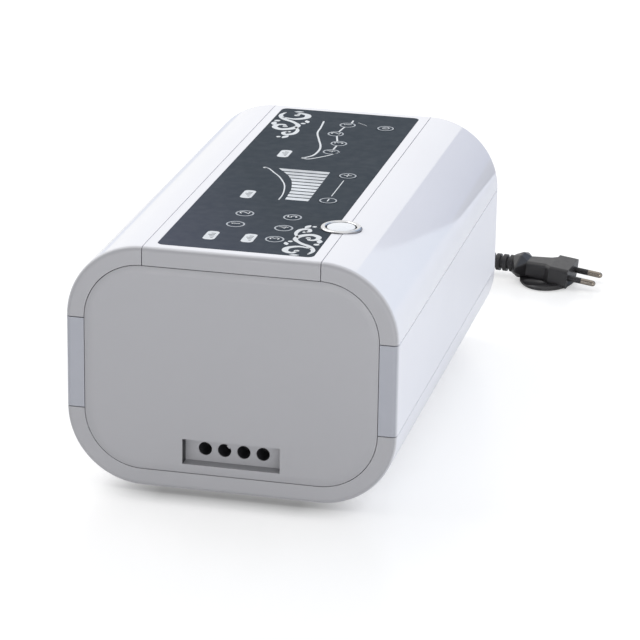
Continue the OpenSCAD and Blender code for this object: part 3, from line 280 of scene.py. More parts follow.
def grey_part(g, dark, shade_colour, gloss, under=None):
    """Grey moulding, in a dark colour of painted shade where dark is 1."""
    grey = g.blend(g.cloud(0.0, CLOUD_SHARE, *CLOUD_NOISE), GREY, GREY_CLOUD)
    return g.dress(g.blend(dark, grey, shade_colour), g.cloud(*gloss, SHINE_NOISE),
                   g.bump(g.noise(*MOULD_NOISE), MOULD_DEPTH, under))


# Left wall of the recess, painted in dark shade, and the plane behind which that painted shade
# lies
RECESS_LEFT, RECESS_FACE, RECESS_SOFT, WALL_SHADE = -27.3, -153.0, 0.4, srgb(34, 34, 37)
# Face of the outlet block, and the depths where the painted dark shade inside its bores starts and
# is full
BLOCK_FACE, BORE_SHADE_START, BORE_SHADE_END, BORE_SHADE = -146.5, 0.3, 1.4, srgb(50, 50, 54)
PLATE_GLOSS, BLOCK_GLOSS = (0.40, 0.46), (0.42, 0.5)


def plate_material(name):
    """Grey front plate, with dark painted shade on the left wall of its recess."""
    g = Surface(name)
    place = g.axes()
    wall = g.math("MULTIPLY", g.math("LESS_THAN", place["X"], RECESS_LEFT * MM),
                  g.along(place["Y"], RECESS_FACE - RECESS_SOFT, RECESS_FACE))
    return grey_part(g, wall, WALL_SHADE, PLATE_GLOSS, crown(g))


def block_material(name):
    """Grey outlet block, with dark painted shade inside its bores."""
    g = Surface(name)
    bore = g.along(g.axes()["Y"], BLOCK_FACE + BORE_SHADE_START, BLOCK_FACE + BORE_SHADE_END)
    return grey_part(g, bore, BORE_SHADE, BLOCK_GLOSS)


BUTTON_PLACE = (47.4, -89.7, 145.0)
# Radii of the ring, and how near its rims the painted shade along them is full and where it
# starts; below, the colours of that painted shade inside and outside
RING_INNER, RING_OUTER, RIM_SHADE_FULL, RIM_SHADE_FADE = 8.7, 11.7, 0.12, 0.30
INNER_RIM_SHADE, OUTER_RIM_SHADE = (0.10, 0.10, 0.11, 1), (0.30, 0.30, 0.32, 1)
# Chrome: its two shades and the noise between them, range and noise of its gloss, noise and depth
# of its grain
CHROME, CHROME_NOISE = ((0.70, 0.70, 0.71, 1), (0.76, 0.76, 0.77, 1)), 40.0
CHROME_GLOSS, CHROME_GRAIN, CHROME_DEPTH = (0.14, 0.2, 500.0, 2.0), (900.0, 2.0), 0.002


def ring_material(name):
    """Chromed ring, with dark painted shade along both of its rims."""
    g = Surface(name)
    off = g.vector("SUBTRACT", g.place, [v * MM for v in BUTTON_PLACE])["Vector"]
    level = g.vector("MULTIPLY", off, (1, 1, 0))["Vector"]
    reach = g.vector("LENGTH", level)["Value"]
    # Painted shade along the outer and the inner rim of the ring
    outer = g.along(reach, RING_OUTER - RIM_SHADE_FADE, RING_OUTER - RIM_SHADE_FULL)
    inner = g.along(reach, RING_INNER + RIM_SHADE_FULL, RING_INNER + RIM_SHADE_FADE, 1.0, 0.0)
    chrome = g.blend(g.cloud(0.0, 1.0, CHROME_NOISE), *CHROME)
    return g.dress(g.blend(outer, g.blend(inner, chrome, INNER_RIM_SHADE), OUTER_RIM_SHADE),
                   g.cloud(*CHROME_GLOSS), g.bump(g.noise(*CHROME_GRAIN), CHROME_DEPTH),
                   Metallic=1.0)


SLATE_LEFT, SLATE_RIGHT, SLATE_CLOUD = srgb(68, 73, 88), srgb(46, 56, 66), srgb(96, 104, 114)
# Places along X + Y / 2 between which the film's colour changes
SLATE_LEAN, SLATE_START, SLATE_END = 0.5, -115.0, -30.0
# Film: ranges and noises of its clouds and its gloss, noise and depth of its grain
FILM_CLOUD, FILM_GLOSS = (0.0, 0.06, 22.0, 4.0, 0.6), (0.55, 0.65, 160.0)
FILM_GRAIN, FILM_DEPTH, FILM_SPECULAR = (2400.0, 2.0), 0.004, 0.12


def overlay_material(name):
    """Printed polyester film: slate, a little bluer at the front left, with a satin grain."""
    g = Surface(name)
    place = g.axes()
    lean = g.math("MULTIPLY_ADD", place["Y"], SLATE_LEAN, place["X"])
    base = g.blend(g.along(lean, SLATE_START, SLATE_END), SLATE_LEFT, SLATE_RIGHT)
    return g.dress(g.blend(g.cloud(*FILM_CLOUD), base, SLATE_CLOUD), g.cloud(*FILM_GLOSS),
                   g.bump(g.noise(*FILM_GRAIN), FILM_DEPTH), Specular_IOR_Level=FILM_SPECULAR)


RUBBER = (0.03, 0.03, 0.03, 1)
# Colour, roughness, grains in a metre, their depth, mottle, and what else a material has
MOULDED = {
    "steel": ((0.62, 0.62, 0.63, 1), 0.3, 700.0, 0.01, 0.05, {"metallic": 1.0}),
    "foot_rubber": (RUBBER, 0.7, 900.0, 0.04, 0.15, {}),
    "board_green": ((0.03, 0.16, 0.07, 1), 0.4, 500.0, 0.02, 0.12, {}),
    "button_white": (srgb(240, 243, 248), 0.25, 900.0, 0.006, 0.01, {"coat": 0.4}),
    "black_plastic": (srgb(37, 36, 38), 0.38, 1300.0, 0.03, 0.12, {}),
    "pump_aluminium": ((0.55, 0.56, 0.58, 1), 0.45, 600.0, 0.04, 0.06, {"metallic": 0.9}),
    "soft_rubber": (RUBBER, 0.65, 900.0, 0.04, 0.15, {}),
    "core_steel": ((0.20, 0.21, 0.22, 1), 0.5, 900.0, 0.03, 0.1,
                   {"metallic": 0.8, "stretch": (1.0, 1.0, 8.0)}),
    "winding_copper": ((0.60, 0.27, 0.10, 1), 0.35, 700.0, 0.15, 0.12,
                       {"metallic": 0.8, "stretch": (0.1, 6.0, 0.1)}),
    "part_white": ((0.75, 0.77, 0.79, 1), 0.4, 900.0, 0.02, 0.03, {}),
    "rotor_orange": ((0.78, 0.28, 0.06, 1), 0.4, 900.0, 0.02, 0.05, {}),
    "tube_clear": ((0.60, 0.66, 0.70, 1), 0.3, 400.0, 0.02, 0.06, {}),
    "cord_black": (srgb(42, 41, 44), 0.5, 1500.0, 0.03, 0.12, {}),
    "pin_metal": (srgb(150, 142, 132), 0.16, 900.0, 0.01, 0.06,
                  {"metallic": 1.0, "stretch": (0.2, 4.0, 4.0)}),
}
MATERIALS = {name: moulded(name, *row[:-1], **row[-1]) for name, row in MOULDED.items()}
MATERIALS.update({
    "shell_white": shell_material("shell_white", gloss=0.02, specular=0.5),
    "plate_grey": plate_material("plate_grey"),
    "overlay_slate": overlay_material("overlay_slate"),
    "key_slate": overlay_material("key_slate"),
    "ring_chrome": ring_material("ring_chrome"),
})

# Pieces that look different from the rest of their slot
SATIN_SHELLS = ("lower_shell", "rear_plate")
SIDE_PANELS = ("left_side_panel", "right_side_panel")
PIECE_MATERIALS = {
    **dict.fromkeys(SATIN_SHELLS, shell_material("shell_satin", gloss=0.30, specular=0.5)),
    **dict.fromkeys(SIDE_PANELS, shell_material("shell_side", gloss=0.45, specular=0.4,
                                                front=SIDE_GREY)),
    "outlet_block": block_material("block_grey"),
}

for part in frame["record"]["subparts"]:
    for slot in NODES[part["node"]].material_slots:
        slot.material = PIECE_MATERIALS.get(part["node"], MATERIALS[part["material_slot"]])


INK_ROUGHNESS, INK_GRAIN, INK_DEPTH = 0.4, 1500.0, 0.006


def ink_material(name, colour, mottle=0.03, stretch=None):
    return moulded(name, colour, INK_ROUGHNESS, INK_GRAIN, INK_DEPTH, mottle, stretch=stretch)


PRINT = ink_material("panel_print", srgb(222, 226, 230))
PRINT_SOFT = ink_material("panel_print_soft", srgb(176, 182, 190), 0.05)
PRINT_BARS = ink_material("panel_print_bars", srgb(214, 218, 223), 0.22, (3.0, 9.0, 1.0))
PRINT_DARK = ink_material("panel_print_dark", srgb(92, 96, 104))


# Mesh helpers ------------------------------------------------------------------------------------

SMOOTH_ANGLE = 30.0
LATHE_STEPS = 96


def to_object(name, shape, body, slot, material=None):
    """A piece that rides a body, in the slot's own material if no other is given."""
    piece = bpy.data.objects.new(name, shape)
    bpy.context.scene.collection.objects.link(piece)
    shape.materials.append(material or MATERIALS[slot])
    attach(piece, body)
    return piece


def turned(angle):
    """Cosine and sine of an angle in degrees."""
    return math.cos(math.radians(angle)), math.sin(math.radians(angle))


def arc(x, y, r, start, end, steps):
    """Points of an arc, its angles in degrees."""
    directions = [turned(start + (end - start) * i / steps) for i in range(steps + 1)]
    return [(x + r * c, y + r * s) for c, s in directions]


def lathe(name, profile, place, body, slot):
    """Closed body of revolution round a vertical axis; the profile is (radius, height)."""
    mesh = bmesh.new()
    rings = []
    for r, z in profile:
        circle = arc(place[0], place[1], r, 0, 360, LATHE_STEPS)[:1 if r == 0 else -1]
        rings.append([mesh.verts.new((x * MM, y * MM, (place[2] + z) * MM)) for x, y in circle])
    closed = rings if len(rings[0]) == 1 else rings + [rings[0]]
    for a, b in zip(closed[:-1], closed[1:]):
        for i in range(LATHE_STEPS):
            j = (i + 1) % LATHE_STEPS
            corners = [a[i % len(a)], a[j % len(a)], b[j % len(b)], b[i % len(b)]]
            mesh.faces.new([v for k, v in enumerate(corners) if v not in corners[:k]])
    bmesh.ops.recalc_face_normals(mesh, faces=mesh.faces)
    made = bpy.data.meshes.new(name)
    mesh.to_mesh(made)
    mesh.free()
    for face in made.polygons:
        face.use_smooth = True
    made.set_sharp_from_angle(angle=math.radians(SMOOTH_ANGLE))
    return to_object(name, made, body, slot)


# Button and its ring -----------------------------------------------------------------------------

BUTTON_R, BUTTON_RISE, BUTTON_EDGE, BUTTON_ROUND, BUTTON_SKIRT = 8.1, 1.4, 0.7, 0.4, 5.0
STEM_R, STEM_END = 3.0, 9.5
RING_RISE, RING_SINK, TUBE_T, TUBE_LEN = 1.2, 1.2, 1.2, 9.0
# Steps of the button's dome, and degrees from point to point of its edge and of the ring's bow
CAP_STEPS, EDGE_TURN, BOW_TURN = 16, 15, 9


def make_button():
    """Domed button on its stem, and the low bowed ring round it with its tube below."""
    rise = BUTTON_RISE - BUTTON_EDGE
    cap_r = (BUTTON_R ** 2 + rise ** 2) / (2 * rise)
    cap = []
    for k in range(CAP_STEPS + 1):
        r = (BUTTON_R - BUTTON_ROUND) * k / CAP_STEPS
        cap.append((r, BUTTON_RISE - cap_r + math.sqrt(cap_r ** 2 - r ** 2)))
    edge_r, edge_z = cap[-1][0], cap[-1][1] - BUTTON_ROUND
    edge = [(edge_r + BUTTON_ROUND * s, edge_z + BUTTON_ROUND * c)
            for c, s in map(turned, range(EDGE_TURN, 91, EDGE_TURN))]
    stem = [(BUTTON_R, -BUTTON_SKIRT), (STEM_R, -BUTTON_SKIRT), (STEM_R, -STEM_END),
            (0, -STEM_END)]
    button = lathe("button", cap + edge + stem, BUTTON_PLACE, "push_button", "button_white")
    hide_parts("push_button")
    half = (RING_OUTER - RING_INNER) / 2
    bow = [(RING_INNER + half - half * c, RING_RISE * s)
           for c, s in map(turned, range(0, 181, BOW_TURN))]
    tube = [(RING_OUTER, -RING_SINK), (RING_INNER + TUBE_T, -RING_SINK),
            (RING_INNER + TUBE_T, -TUBE_LEN)]
    ring = lathe("ring", [(RING_INNER, -TUBE_LEN)] + bow + tube, BUTTON_PLACE, ROOT,
                 "ring_chrome")
    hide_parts("button_ring")


make_button()


# Mains cord --------------------------------------------------------------------------------------

CORD_D = 6.5
NEAR_ROUTE = [(-51.5, 184, 23), (-51.5, 187, 23), (-51.5, 191, 22.3), (-51.5, 196, 20.6),
              (-51.5, 201, 17.6), (-51.5, 205.7, 13.1), (-51.5, 210.4, 8.6), (-51.5, 215.5, 5.6),
              (-51.5, 220.5, 4), (-51.5, 225, 3.25)]
FAR_ROUTE = [(6.5, 286, 10.2), (13, 286, 10.2), (22, 285.9, 10.2), (31, 285.6, 9.9),
             (40, 285, 9.65), (49, 284.25, 9.54), (57.6, 283.32, 9.54), (65.7, 282.47, 9.54)]
COIL_CENTRE = (0.0, 234.5)
COIL_TURNS, COIL_R, COIL_STEP, POINTS_PER_TURN = 7.25, 51.5, 6.95, 24
# Turns in which the coil climbs to its upper layer
CLIMB_TURNS = 0.5
CORD_SMOOTH, LENGTH_STEPS = 5, 8


def coil_point(t):
    """Point of the coil after t turns: in along the lower layer, out along the upper."""
    step = max(0.0, min(1.0, (t - COIL_TURNS / 2 + CLIMB_TURNS / 2) / CLIMB_TURNS))
    climb = step * step * (3 - 2 * step)
    r = COIL_R - COIL_STEP * min(t, COIL_TURNS - t)
    c, s = turned(180 - 360 * t)
    return (COIL_CENTRE[0] + r * c, COIL_CENTRE[1] + r * s, CORD_D / 2 + COIL_STEP * climb)


def between(a, b, t):
    """Place at a share t of the way from one Bezier point to the next."""
    return ((1 - t) ** 3 * a.co + 3 * t * (1 - t) ** 2 * a.handle_right
            + 3 * t * t * (1 - t) * b.handle_left + t ** 3 * b.co)


def make_cord():
    """The whole cord as one tube, from the gland through the coil to the plug."""
    coil = [coil_point(i / POINTS_PER_TURN) for i in range(int(COIL_TURNS * POINTS_PER_TURN) + 1)]
    entry = (COIL_CENTRE[0] - COIL_R, COIL_CENTRE[1] - CORD_D, CORD_D / 2)
    route = NEAR_ROUTE + [entry] + coil + FAR_ROUTE
    curve = bpy.data.curves.new("mains_cord", "CURVE")
    curve.dimensions = "3D"
    curve.bevel_depth = CORD_D / 2 * MM
    curve.bevel_resolution = curve.resolution_u = CORD_SMOOTH
    curve.use_fill_caps = True
    line = curve.splines.new("BEZIER")
    line.bezier_points.add(len(route) - 1)
    points = line.bezier_points
    for point, place in zip(points, route):
        point.co = Vector(place) * MM
        point.handle_left_type = point.handle_right_type = "AUTO"
    piece = to_object("mains_cord", curve, ROOT, "cord_black")
    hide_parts("mains_cord_near", "mains_cord_coil", "mains_cord_far")
    samples = [between(a, b, k / LENGTH_STEPS)
               for a, b in zip(points[:-1], points[1:]) for k in range(LENGTH_STEPS)]
    samples.append(points[-1].co)


make_cord()


# Keys --------------------------------------------------------------------------------------------

TOP = 145.0
KEY_TOP = 145.4
KEY_LIP, KEY_SKIRT, KEY_STEM_R, KEY_STEM_END, DOME_STEPS = 0.08, 0.5, 2.0, 4.0, 8
# X, Y and diameter of every key
KEYS = {
    "key_power": (28.7, 117.0, 11.0), "key_plus": (28.7, 10.0, 11.0),
    "key_minus": (28.7, -41.5, 11.0), "key_zone_1": (4.0, 118.5, 8.0),
    "key_zone_2": (1.3, 97.0, 8.0), "key_zone_3": (8.0, 76.5, 8.0),
    "key_zone_4": (7.5, 57.5, 8.0), "key_program_1": (-11.6, -99.0, 8.5),
    "key_program_2": (-11.6, -78.0, 8.5), "key_program_3": (16.4, -120.0, 8.5),
    "key_program_4": (16.4, -99.0, 8.5), "key_program_5": (16.4, -78.0, 8.5),
}


def make_keys():
    """Membrane keys, each a low dome on its stem."""
    stem = [(KEY_STEM_R, -KEY_SKIRT), (KEY_STEM_R, -KEY_STEM_END), (0, -KEY_STEM_END)]
    for node, (x, y, d) in KEYS.items():
        shares = [k / DOME_STEPS for k in range(DOME_STEPS + 1)]
        dome = [(d / 2 * share, KEY_LIP + (KEY_TOP - TOP - KEY_LIP) * (1 - share ** 2))
                for share in shares]
        key = lathe("dome_" + node, dome + [(d / 2, -KEY_SKIRT)] + stem, (x, y, TOP), node,
                    "key_slate")
        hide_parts(node)


make_keys()


# Prints on the control panel ---------------------------------------------------------------------

# Height of the ink over the panel, and of the rims over the edges of the control keys
INK, RIM_LEVEL = 0.03, 0.2
ROUND_STEPS, RING_STEPS, DOT_STEPS, LEAF_STEPS = 8, 40, 20, 8


def rounded(points):
    """A smooth line through the points (Catmull-Rom)."""
    p = [Vector(q) for q in points]
    p = [2 * p[0] - p[1]] + p + [2 * p[-1] - p[-2]]
    out = []
    for a, b, c, d in zip(p[:-3], p[1:-2], p[2:-1], p[3:]):
        for i in range(ROUND_STEPS):
            t = i / ROUND_STEPS
            out.append(0.5 * (2 * b + (c - a) * t + (2 * a - 5 * b + 4 * c - d) * t * t
                              + (3 * b - a - 3 * c + d) * t ** 3))
    return [tuple(q) for q in out] + [tuple(p[-2])]


class Print:
    """Flat ink shapes in one plane over the panel, gathered into one mesh."""

    def __init__(self, z):
        self.mesh = bmesh.new()
        self.z = z

    def face(self, points):
        self.mesh.faces.new([self.mesh.verts.new((x * MM, y * MM, self.z * MM))
                             for x, y in points])

    def line(self, points, *widths):
        """A line of one width, or one that goes through all the widths from start to end."""
        p = [Vector(q) for q in points]
        sides = []
        for i, q in enumerate(p):
            along = (p[min(i + 1, len(p) - 1)] - p[max(i - 1, 0)]).normalized()
            at = i / (len(p) - 1) * (len(widths) - 1)
            k = min(int(at), max(len(widths) - 2, 0))
            end = widths[min(k + 1, len(widths) - 1)]
            half = (widths[k] + (end - widths[k]) * (at - k)) / 2
            across = Vector((-along.y, along.x)) * half
            sides.append((q + across, q - across))
        for (a, b), (c, d) in zip(sides[:-1], sides[1:]):
            self.face([a, b, d, c])

    def ring(self, x, y, r, width):
        outer = arc(x, y, r, 0, 360, RING_STEPS)
        inner = arc(x, y, r - width, 0, 360, RING_STEPS)
        for i in range(RING_STEPS):
            self.face([outer[i], outer[i + 1], inner[i + 1], inner[i]])

    def dot(self, x, y, r):
        self.face(arc(x, y, r, 0, 360, DOT_STEPS)[:-1])

    def pill(self, x, y, width, length, r):
        hw, hl = width / 2 - r, length / 2 - r
        corners = ((hw, hl), (-hw, hl), (-hw, -hl), (hw, -hl))
        self.face([point for k, (across, along) in enumerate(corners)
                   for point in arc(x + across, y + along, r, 90 * k, 90 * (k + 1), ROUND_STEPS)])

    def leaf(self, x, y, angle, length, width):
        """A pointed leaf from its foot at x, y."""
        c, s = turned(angle)
        shares = [k / LEAF_STEPS for k in range(LEAF_STEPS + 1)]
        shape = [(t * length, width / 2 * math.sin(math.pi * t)) for t in shares]
        shape += [(t * length, -width / 2 * math.sin(math.pi * t)) for t in shares[-2:0:-1]]
        self.face([(x + c * u - s * v, y + s * u + c * v) for u, v in shape])

    def signs(self, strokes, x, y, size, width):
        """Strokes drawn to be read from the right-hand side of the pump."""
        for stroke in strokes:
            self.line([(x - v * size, y + u * size) for u, v in stroke], width)

    def done(self, name, body, material=None):
        """Turn the faces up and make the piece."""
        bmesh.ops.recalc_face_normals(self.mesh, faces=self.mesh.faces)
        for face in self.mesh.faces:
            if face.normal.z < 0:
                face.normal_flip()
        mesh = bpy.data.meshes.new(name)
        self.mesh.to_mesh(mesh)
        self.mesh.free()
        to_object(name, mesh, body, "overlay_slate", material or PRINT)


DIGITS = {
    "1": [[(-0.22, 0.28), (0.02, 0.5), (0.02, -0.5)]],
    "2": [[(-0.3, 0.28), (-0.2, 0.47), (0.05, 0.5), (0.28, 0.3), (0.18, 0.02), (-0.3, -0.5),
           (0.32, -0.5)]],
    "3": [[(-0.28, 0.38), (0, 0.5), (0.25, 0.3), (0.0, 0.05), (0.28, -0.22), (0.02, -0.5),
           (-0.3, -0.36)]],
    "4": [[(0.15, -0.5), (0.15, 0.5), (-0.32, -0.18), (0.34, -0.18)]],
    "5": [[(0.26, 0.5), (-0.22, 0.5), (-0.26, 0.06), (0.06, 0.12), (0.3, -0.15),
           (0.06, -0.48), (-0.28, -0.4)]],
}
DIGIT_SIZE, DIGIT_WIDTH = 5.2, 0.85
LEVEL_STROKE, UPRIGHT_STROKE = [(-0.5, 0), (0.5, 0)], [(0, -0.5), (0, 0.5)]
# Strokes, size and width of the control keys' signs
SIGNS = {
    "power": ([[(0, 0.5), (0, -0.1)]], 4.6, 0.8),
    "plus": ([LEVEL_STROKE, UPRIGHT_STROKE], 5.0, 0.75),
    "minus": ([LEVEL_STROKE], 5.0, 0.75),
}
POWER_R, POWER_TURN, POWER_STEPS, POWER_WIDTH = 2.2, 140, 14, 0.6
RING_D, RING_WIDTH = {"zone": 10.2, "program": 10.8}, 0.95
RIM_INSET, RIM_WIDTH = 0.3, 0.85


def print_keys(around):
    """Sign on every key, riding on the key, with its ring on the key or on the panel round it."""
    for node, (x, y, d) in KEYS.items():
        ink = Print(KEY_TOP + INK)
        kind = node.split("_")[1]
        if kind in RING_D:
            around.ring(x, y, RING_D[kind] / 2, RING_WIDTH)
            ink.signs(DIGITS[node[-1]], x, y, DIGIT_SIZE, DIGIT_WIDTH)
        else:
            rim = Print(TOP + RIM_LEVEL)
            rim.ring(x, y, d / 2 - RIM_INSET, RIM_WIDTH)
            rim.done("rim_" + node, node, PRINT_SOFT)
            strokes, size, width = SIGNS[kind]
            ink.signs(strokes, x, y, size, width)
        if kind == "power":
            ink.line(arc(x, y, POWER_R, -POWER_TURN, POWER_TURN, POWER_STEPS), POWER_WIDTH)
        ink.done("print_" + node, node)


# Left ends of the pressure bars
BAR_EDGE = [(-14.7, 14.8), (-8.5, 6.1), (-5.3, 1.1), (-2.3, -5.4), (-1.0, -8.7), (0.4, -14.3),
            (1.7, -20.0), (3.0, -26.8), (3.3, -32.7), (3.7, -39.1), (4.1, -47.2)]
BAR_COUNT, BAR_REAR, BAR_PITCH, BAR_WIDTH, BAR_STEPS = 10, 14.8, 6.2, 4.6, 4
# Right end of the first bar, and how much further the last one reaches
BAR_RIGHT, BAR_LEAN = 16.8, 0.9
PRESSURE_LINE = [(-23.2, 14.0), (-20.4, 12.9), (-15.4, 5.6), (-10.5, -1.6), (-6.2, -10.2),
                 (-3.2, -17.8), (-1.1, -26.8), (0.4, -37.1), (0.6, -47.0)]
PRESSURE_WIDTHS, PRESSURE_DOT = (0.95, 0.8), (-23.0, 14.0, 1.3)
SCALE_LINE, SCALE_WIDTH = [(28.4, 0.4), (28.5, -32.0)], 0.6


def edge_at(y):
    """Where the bars begin, along X, at a place along Y."""
    for (x0, y0), (x1, y1) in zip(BAR_EDGE[:-1], BAR_EDGE[1:]):
        if y1 <= y <= y0:
            return x0 + (x1 - x0) * (y0 - y) / (y0 - y1)
    return BAR_EDGE[-1][0]


def print_graph(ink, bars):
    """Ten pressure bars under a falling curve, and the line between the plus and minus keys."""
    for i in range(BAR_COUNT):
        y0 = BAR_REAR - i * BAR_PITCH
        y1 = y0 - BAR_WIDTH
        right = BAR_RIGHT + BAR_LEAN * i / (BAR_COUNT - 1)
        cuts = [y0 - BAR_WIDTH * k / BAR_STEPS for k in range(BAR_STEPS + 1)]
        bars.face([(right, y1), (right, y0)] + [(edge_at(y), y) for y in cuts])
    ink.line(rounded(PRESSURE_LINE), *PRESSURE_WIDTHS)
    ink.dot(*PRESSURE_DOT)
    ink.line(SCALE_LINE, SCALE_WIDTH)


LEG_LINE = [(-12.3, 123.1), (-10.9, 108.0), (-10.0, 95.6), (-5.6, 81.0), (-1.6, 68.0),
            (-0.3, 57.6), (-1.4, 46.7), (-5.7, 40.2)]
LEG_WIDTHS, HEEL_DOT = (1.1, 1.2, 1.5), (-5.7, 39.8, 1.2)
SOLE_LINE, SOLE_WIDTHS = [(-4.6, 38.6), (-1.1, 39.4), (7.6, 49.3), (12.7, 58.7)], (1.3, 0.8)
ZONE_LINKS = [((5.3, 129.6), (5.4, 123.2)), ((3.2, 113.9), (2.0, 101.5)),
              ((3.0, 92.6), (6.0, 81.0)), ((7.8, 71.9), (7.6, 62.0))]
LINK_WIDTH = 1.1
KNEE_LINE, KNEE_WIDTH = [(9.2, 125.9), (16.2, 120.0)], 0.35


def print_leg(ink):
    """Outline of a lower leg, with the links between its four zones."""
    ink.line(rounded(LEG_LINE), *LEG_WIDTHS)
    ink.dot(*HEEL_DOT)
    ink.line(rounded(SOLE_LINE), *SOLE_WIDTHS)
    for link in ZONE_LINKS:
        ink.line(link, LINK_WIDTH)
    ink.line(KNEE_LINE, KNEE_WIDTH)


PILLS = [(-18.8, 45.9), (-19.2, -41.4), (-19.5, -122.7), (2.2, -122.0)]
PILL_W, PILL_L, PILL_ROUND = 7.0, 15.5, 2.6
ICON_RISES, ICON_PITCH, ICON_FOOT, ICON_WIDTH = (1.4, 2.6, 3.8, 2.6), 2.5, 1.9, 1.0


def print_pills(ink, dark):
    """Light pills, each with a row of four short bars."""
    for x, y in PILLS:
        ink.pill(x, y, PILL_W, PILL_L, PILL_ROUND)
        for k, rise in enumerate(ICON_RISES):
            at = y + ICON_PITCH * (k - (len(ICON_RISES) - 1) / 2)
            dark.line([(x + ICON_FOOT, at), (x + ICON_FOOT - rise, at)], ICON_WIDTH)


# Points and widths of the vine's scrolls; place and radius of its buds; place, angle, length and
# width of its leaves
SCROLLS = (
    ([(2.5, -6.6), (9.0, -7.8), (16.0, -4.0), (20.5, 2.0), (27.0, 6.8), (34.0, 5.0),
      (37.2, -0.6), (34.0, -5.2), (29.0, -4.8), (27.6, -1.4), (30.6, 0.2)],
     (1.4, 3.2, 2.4, 3.8, 3.4, 2.6, 1.6)),
    ([(12.5, -5.6), (14.6, 1.6), (10.6, 7.4), (4.6, 7.2), (2.4, 2.8), (6.2, 1.0)],
     (1.0, 3.0, 3.8, 2.8, 1.6)),
    ([(30.5, 6.4), (37.5, 9.0), (44.5, 8.2), (47.2, 4.2), (43.4, 2.2), (41.2, 4.6)],
     (1.2, 2.4, 3.2, 2.4, 1.4)),
)
BUDS = ((31.0, 0.2, 1.5), (6.6, 1.2, 1.6), (41.2, 4.8, 1.3), (20.5, -7.0, 1.7),
        (22.4, 8.6, 1.4), (52.6, 1.6, 1.3))
LEAVES = ((22.6, -8.0, 8, 7.5, 3.4), (15.2, 9.0, 20, 6.0, 2.8), (48.4, 6.4, -18, 7.0, 3.2),
          (-0.5, -2.2, 100, 6.0, 2.6))
# Foot, direction and size of the two vines
ORNAMENTS = (((34.2, -143.5), 90, 0.98), ((-33.2, 139.0), -90, 1.1))


def print_ornament(ink, origin, turn, size):
    """A generic vine of bold scrolls, buds and leaves."""
    c, s = turned(turn)

    def at(u, v):
        return (origin[0] + size * (c * u - s * v), origin[1] + size * (s * u + c * v))

    for points, widths in SCROLLS:
        ink.line(rounded([at(u, v) for u, v in points]), *[w * size for w in widths])
        ink.dot(*at(*points[0]), widths[0] * size / 2)
    for u, v, r in BUDS:
        ink.dot(*at(u, v), r * size)
    for u, v, angle, length, width in LEAVES:
        ink.leaf(*at(u, v), turn + angle, length * size, width * size)


def make_prints():
    ink, soft, bars, dark = (Print(TOP + INK * layer) for layer in (1, 1, 1, 2))
    print_keys(soft)
    print_graph(ink, bars)
    print_leg(ink)
    print_pills(ink, dark)
    for origin, turn, size in ORNAMENTS:
        print_ornament(ink, origin, turn, size)
    ink.done("print_panel", ROOT)
    soft.done("print_rings", ROOT, PRINT_SOFT)
    bars.done("print_bars", ROOT, PRINT_BARS)
    dark.done("print_icons", ROOT, PRINT_DARK)


make_prints()


# Floor -------------------------------------------------------------------------------------------

FLOOR_SIZE, FLOOR_ROUGHNESS = 12000.0, 0.28
# Colour in reflections and colour to the camera, and the light it adds in each
FLOOR_WHITE, FLOOR_SEEN = (0.86, 0.86, 0.86, 1), (0.56, 0.56, 0.56, 1)
FLOOR_GLOW = (0.0, 0.46)
# Distance from the part at which the floor ends for reflections
MIRROR_REACH = (680.0, 760.0)
# Painted contact shadow, for the camera only: reach, strength, range of openness that it covers,
# and samples
CONTACT_REACH, CONTACT_DARK, CONTACT_RANGE, CONTACT_SAMPLES = 22.0, 0.60, (0.45, 0.97), 16
# Where it falls off, along Y and to both sides, and what is left of it there
CONTACT_FRONT, CONTACT_SIDES, CONTACT_REST = (-150.0, -130.0), (40.0, 78.0), 0.12


def make_floor():
    """White table with the part's shadow, a painted contact shadow in front of it and a faint
    reflection, which the camera sees white.
    """
    mesh = bpy.data.meshes.new("floor")
    size = FLOOR_SIZE * MM
    mesh.from_pydata([(-size, -size, 0), (size, -size, 0), (size, size, 0), (-size, size, 0)],
                     [], [(0, 1, 2, 3)])
    piece = bpy.data.objects.new("floor", mesh)
    bpy.context.scene.collection.objects.link(piece)
    g = Surface("floor")
    g.shader.inputs["Roughness"].default_value = FLOOR_ROUGHNESS
    path = g.add("ShaderNodeLightPath").outputs
    seen = path["Is Camera Ray"]
    g.link(g.blend(seen, FLOOR_WHITE, FLOOR_SEEN), g.shader.inputs["Base Color"])
    glow = g.add("ShaderNodeEmission")
    g.link(g.spread(seen, *FLOOR_GLOW, 0.0, 1.0), glow.inputs["Strength"])
    lit = g.filled(g.add("ShaderNodeAddShader"), (g.shader.outputs[0], glow.outputs[0]))
    # Painted contact shadow: for the camera the floor goes towards black where little round it is
    # open, in front of the part only
    near = g.add("ShaderNodeAmbientOcclusion", samples=CONTACT_SAMPLES)
    near.inputs["Distance"].default_value = CONTACT_REACH * MM
    place = g.axes()
    contact = seen
    for share in (g.spread(near.outputs["AO"], CONTACT_DARK, 0.0, *CONTACT_RANGE),
                  g.along(place["Y"], *CONTACT_FRONT, 1.0, CONTACT_REST),
                  g.along(g.math("ABSOLUTE", place["X"]), *CONTACT_SIDES, 1.0, CONTACT_REST)):
        contact = g.math("MULTIPLY", contact, share)
    dark = g.add("ShaderNodeEmission")
    dark.inputs["Strength"].default_value = 0.0
    shaded = g.mix(contact, lit.outputs[0], dark.outputs[0])
    far = g.math("MULTIPLY", g.along(g.vector("LENGTH", g.place)["Value"], *MIRROR_REACH),
                 path["Is Glossy Ray"])
    ended = g.mix(far, shaded, g.add("ShaderNodeBsdfTransparent").outputs[0])
    g.link(ended, g.tree.nodes["Material Output"].inputs["Surface"])
    mesh.materials.append(g.material)


# Studio and lights -------------------------------------------------------------------------------

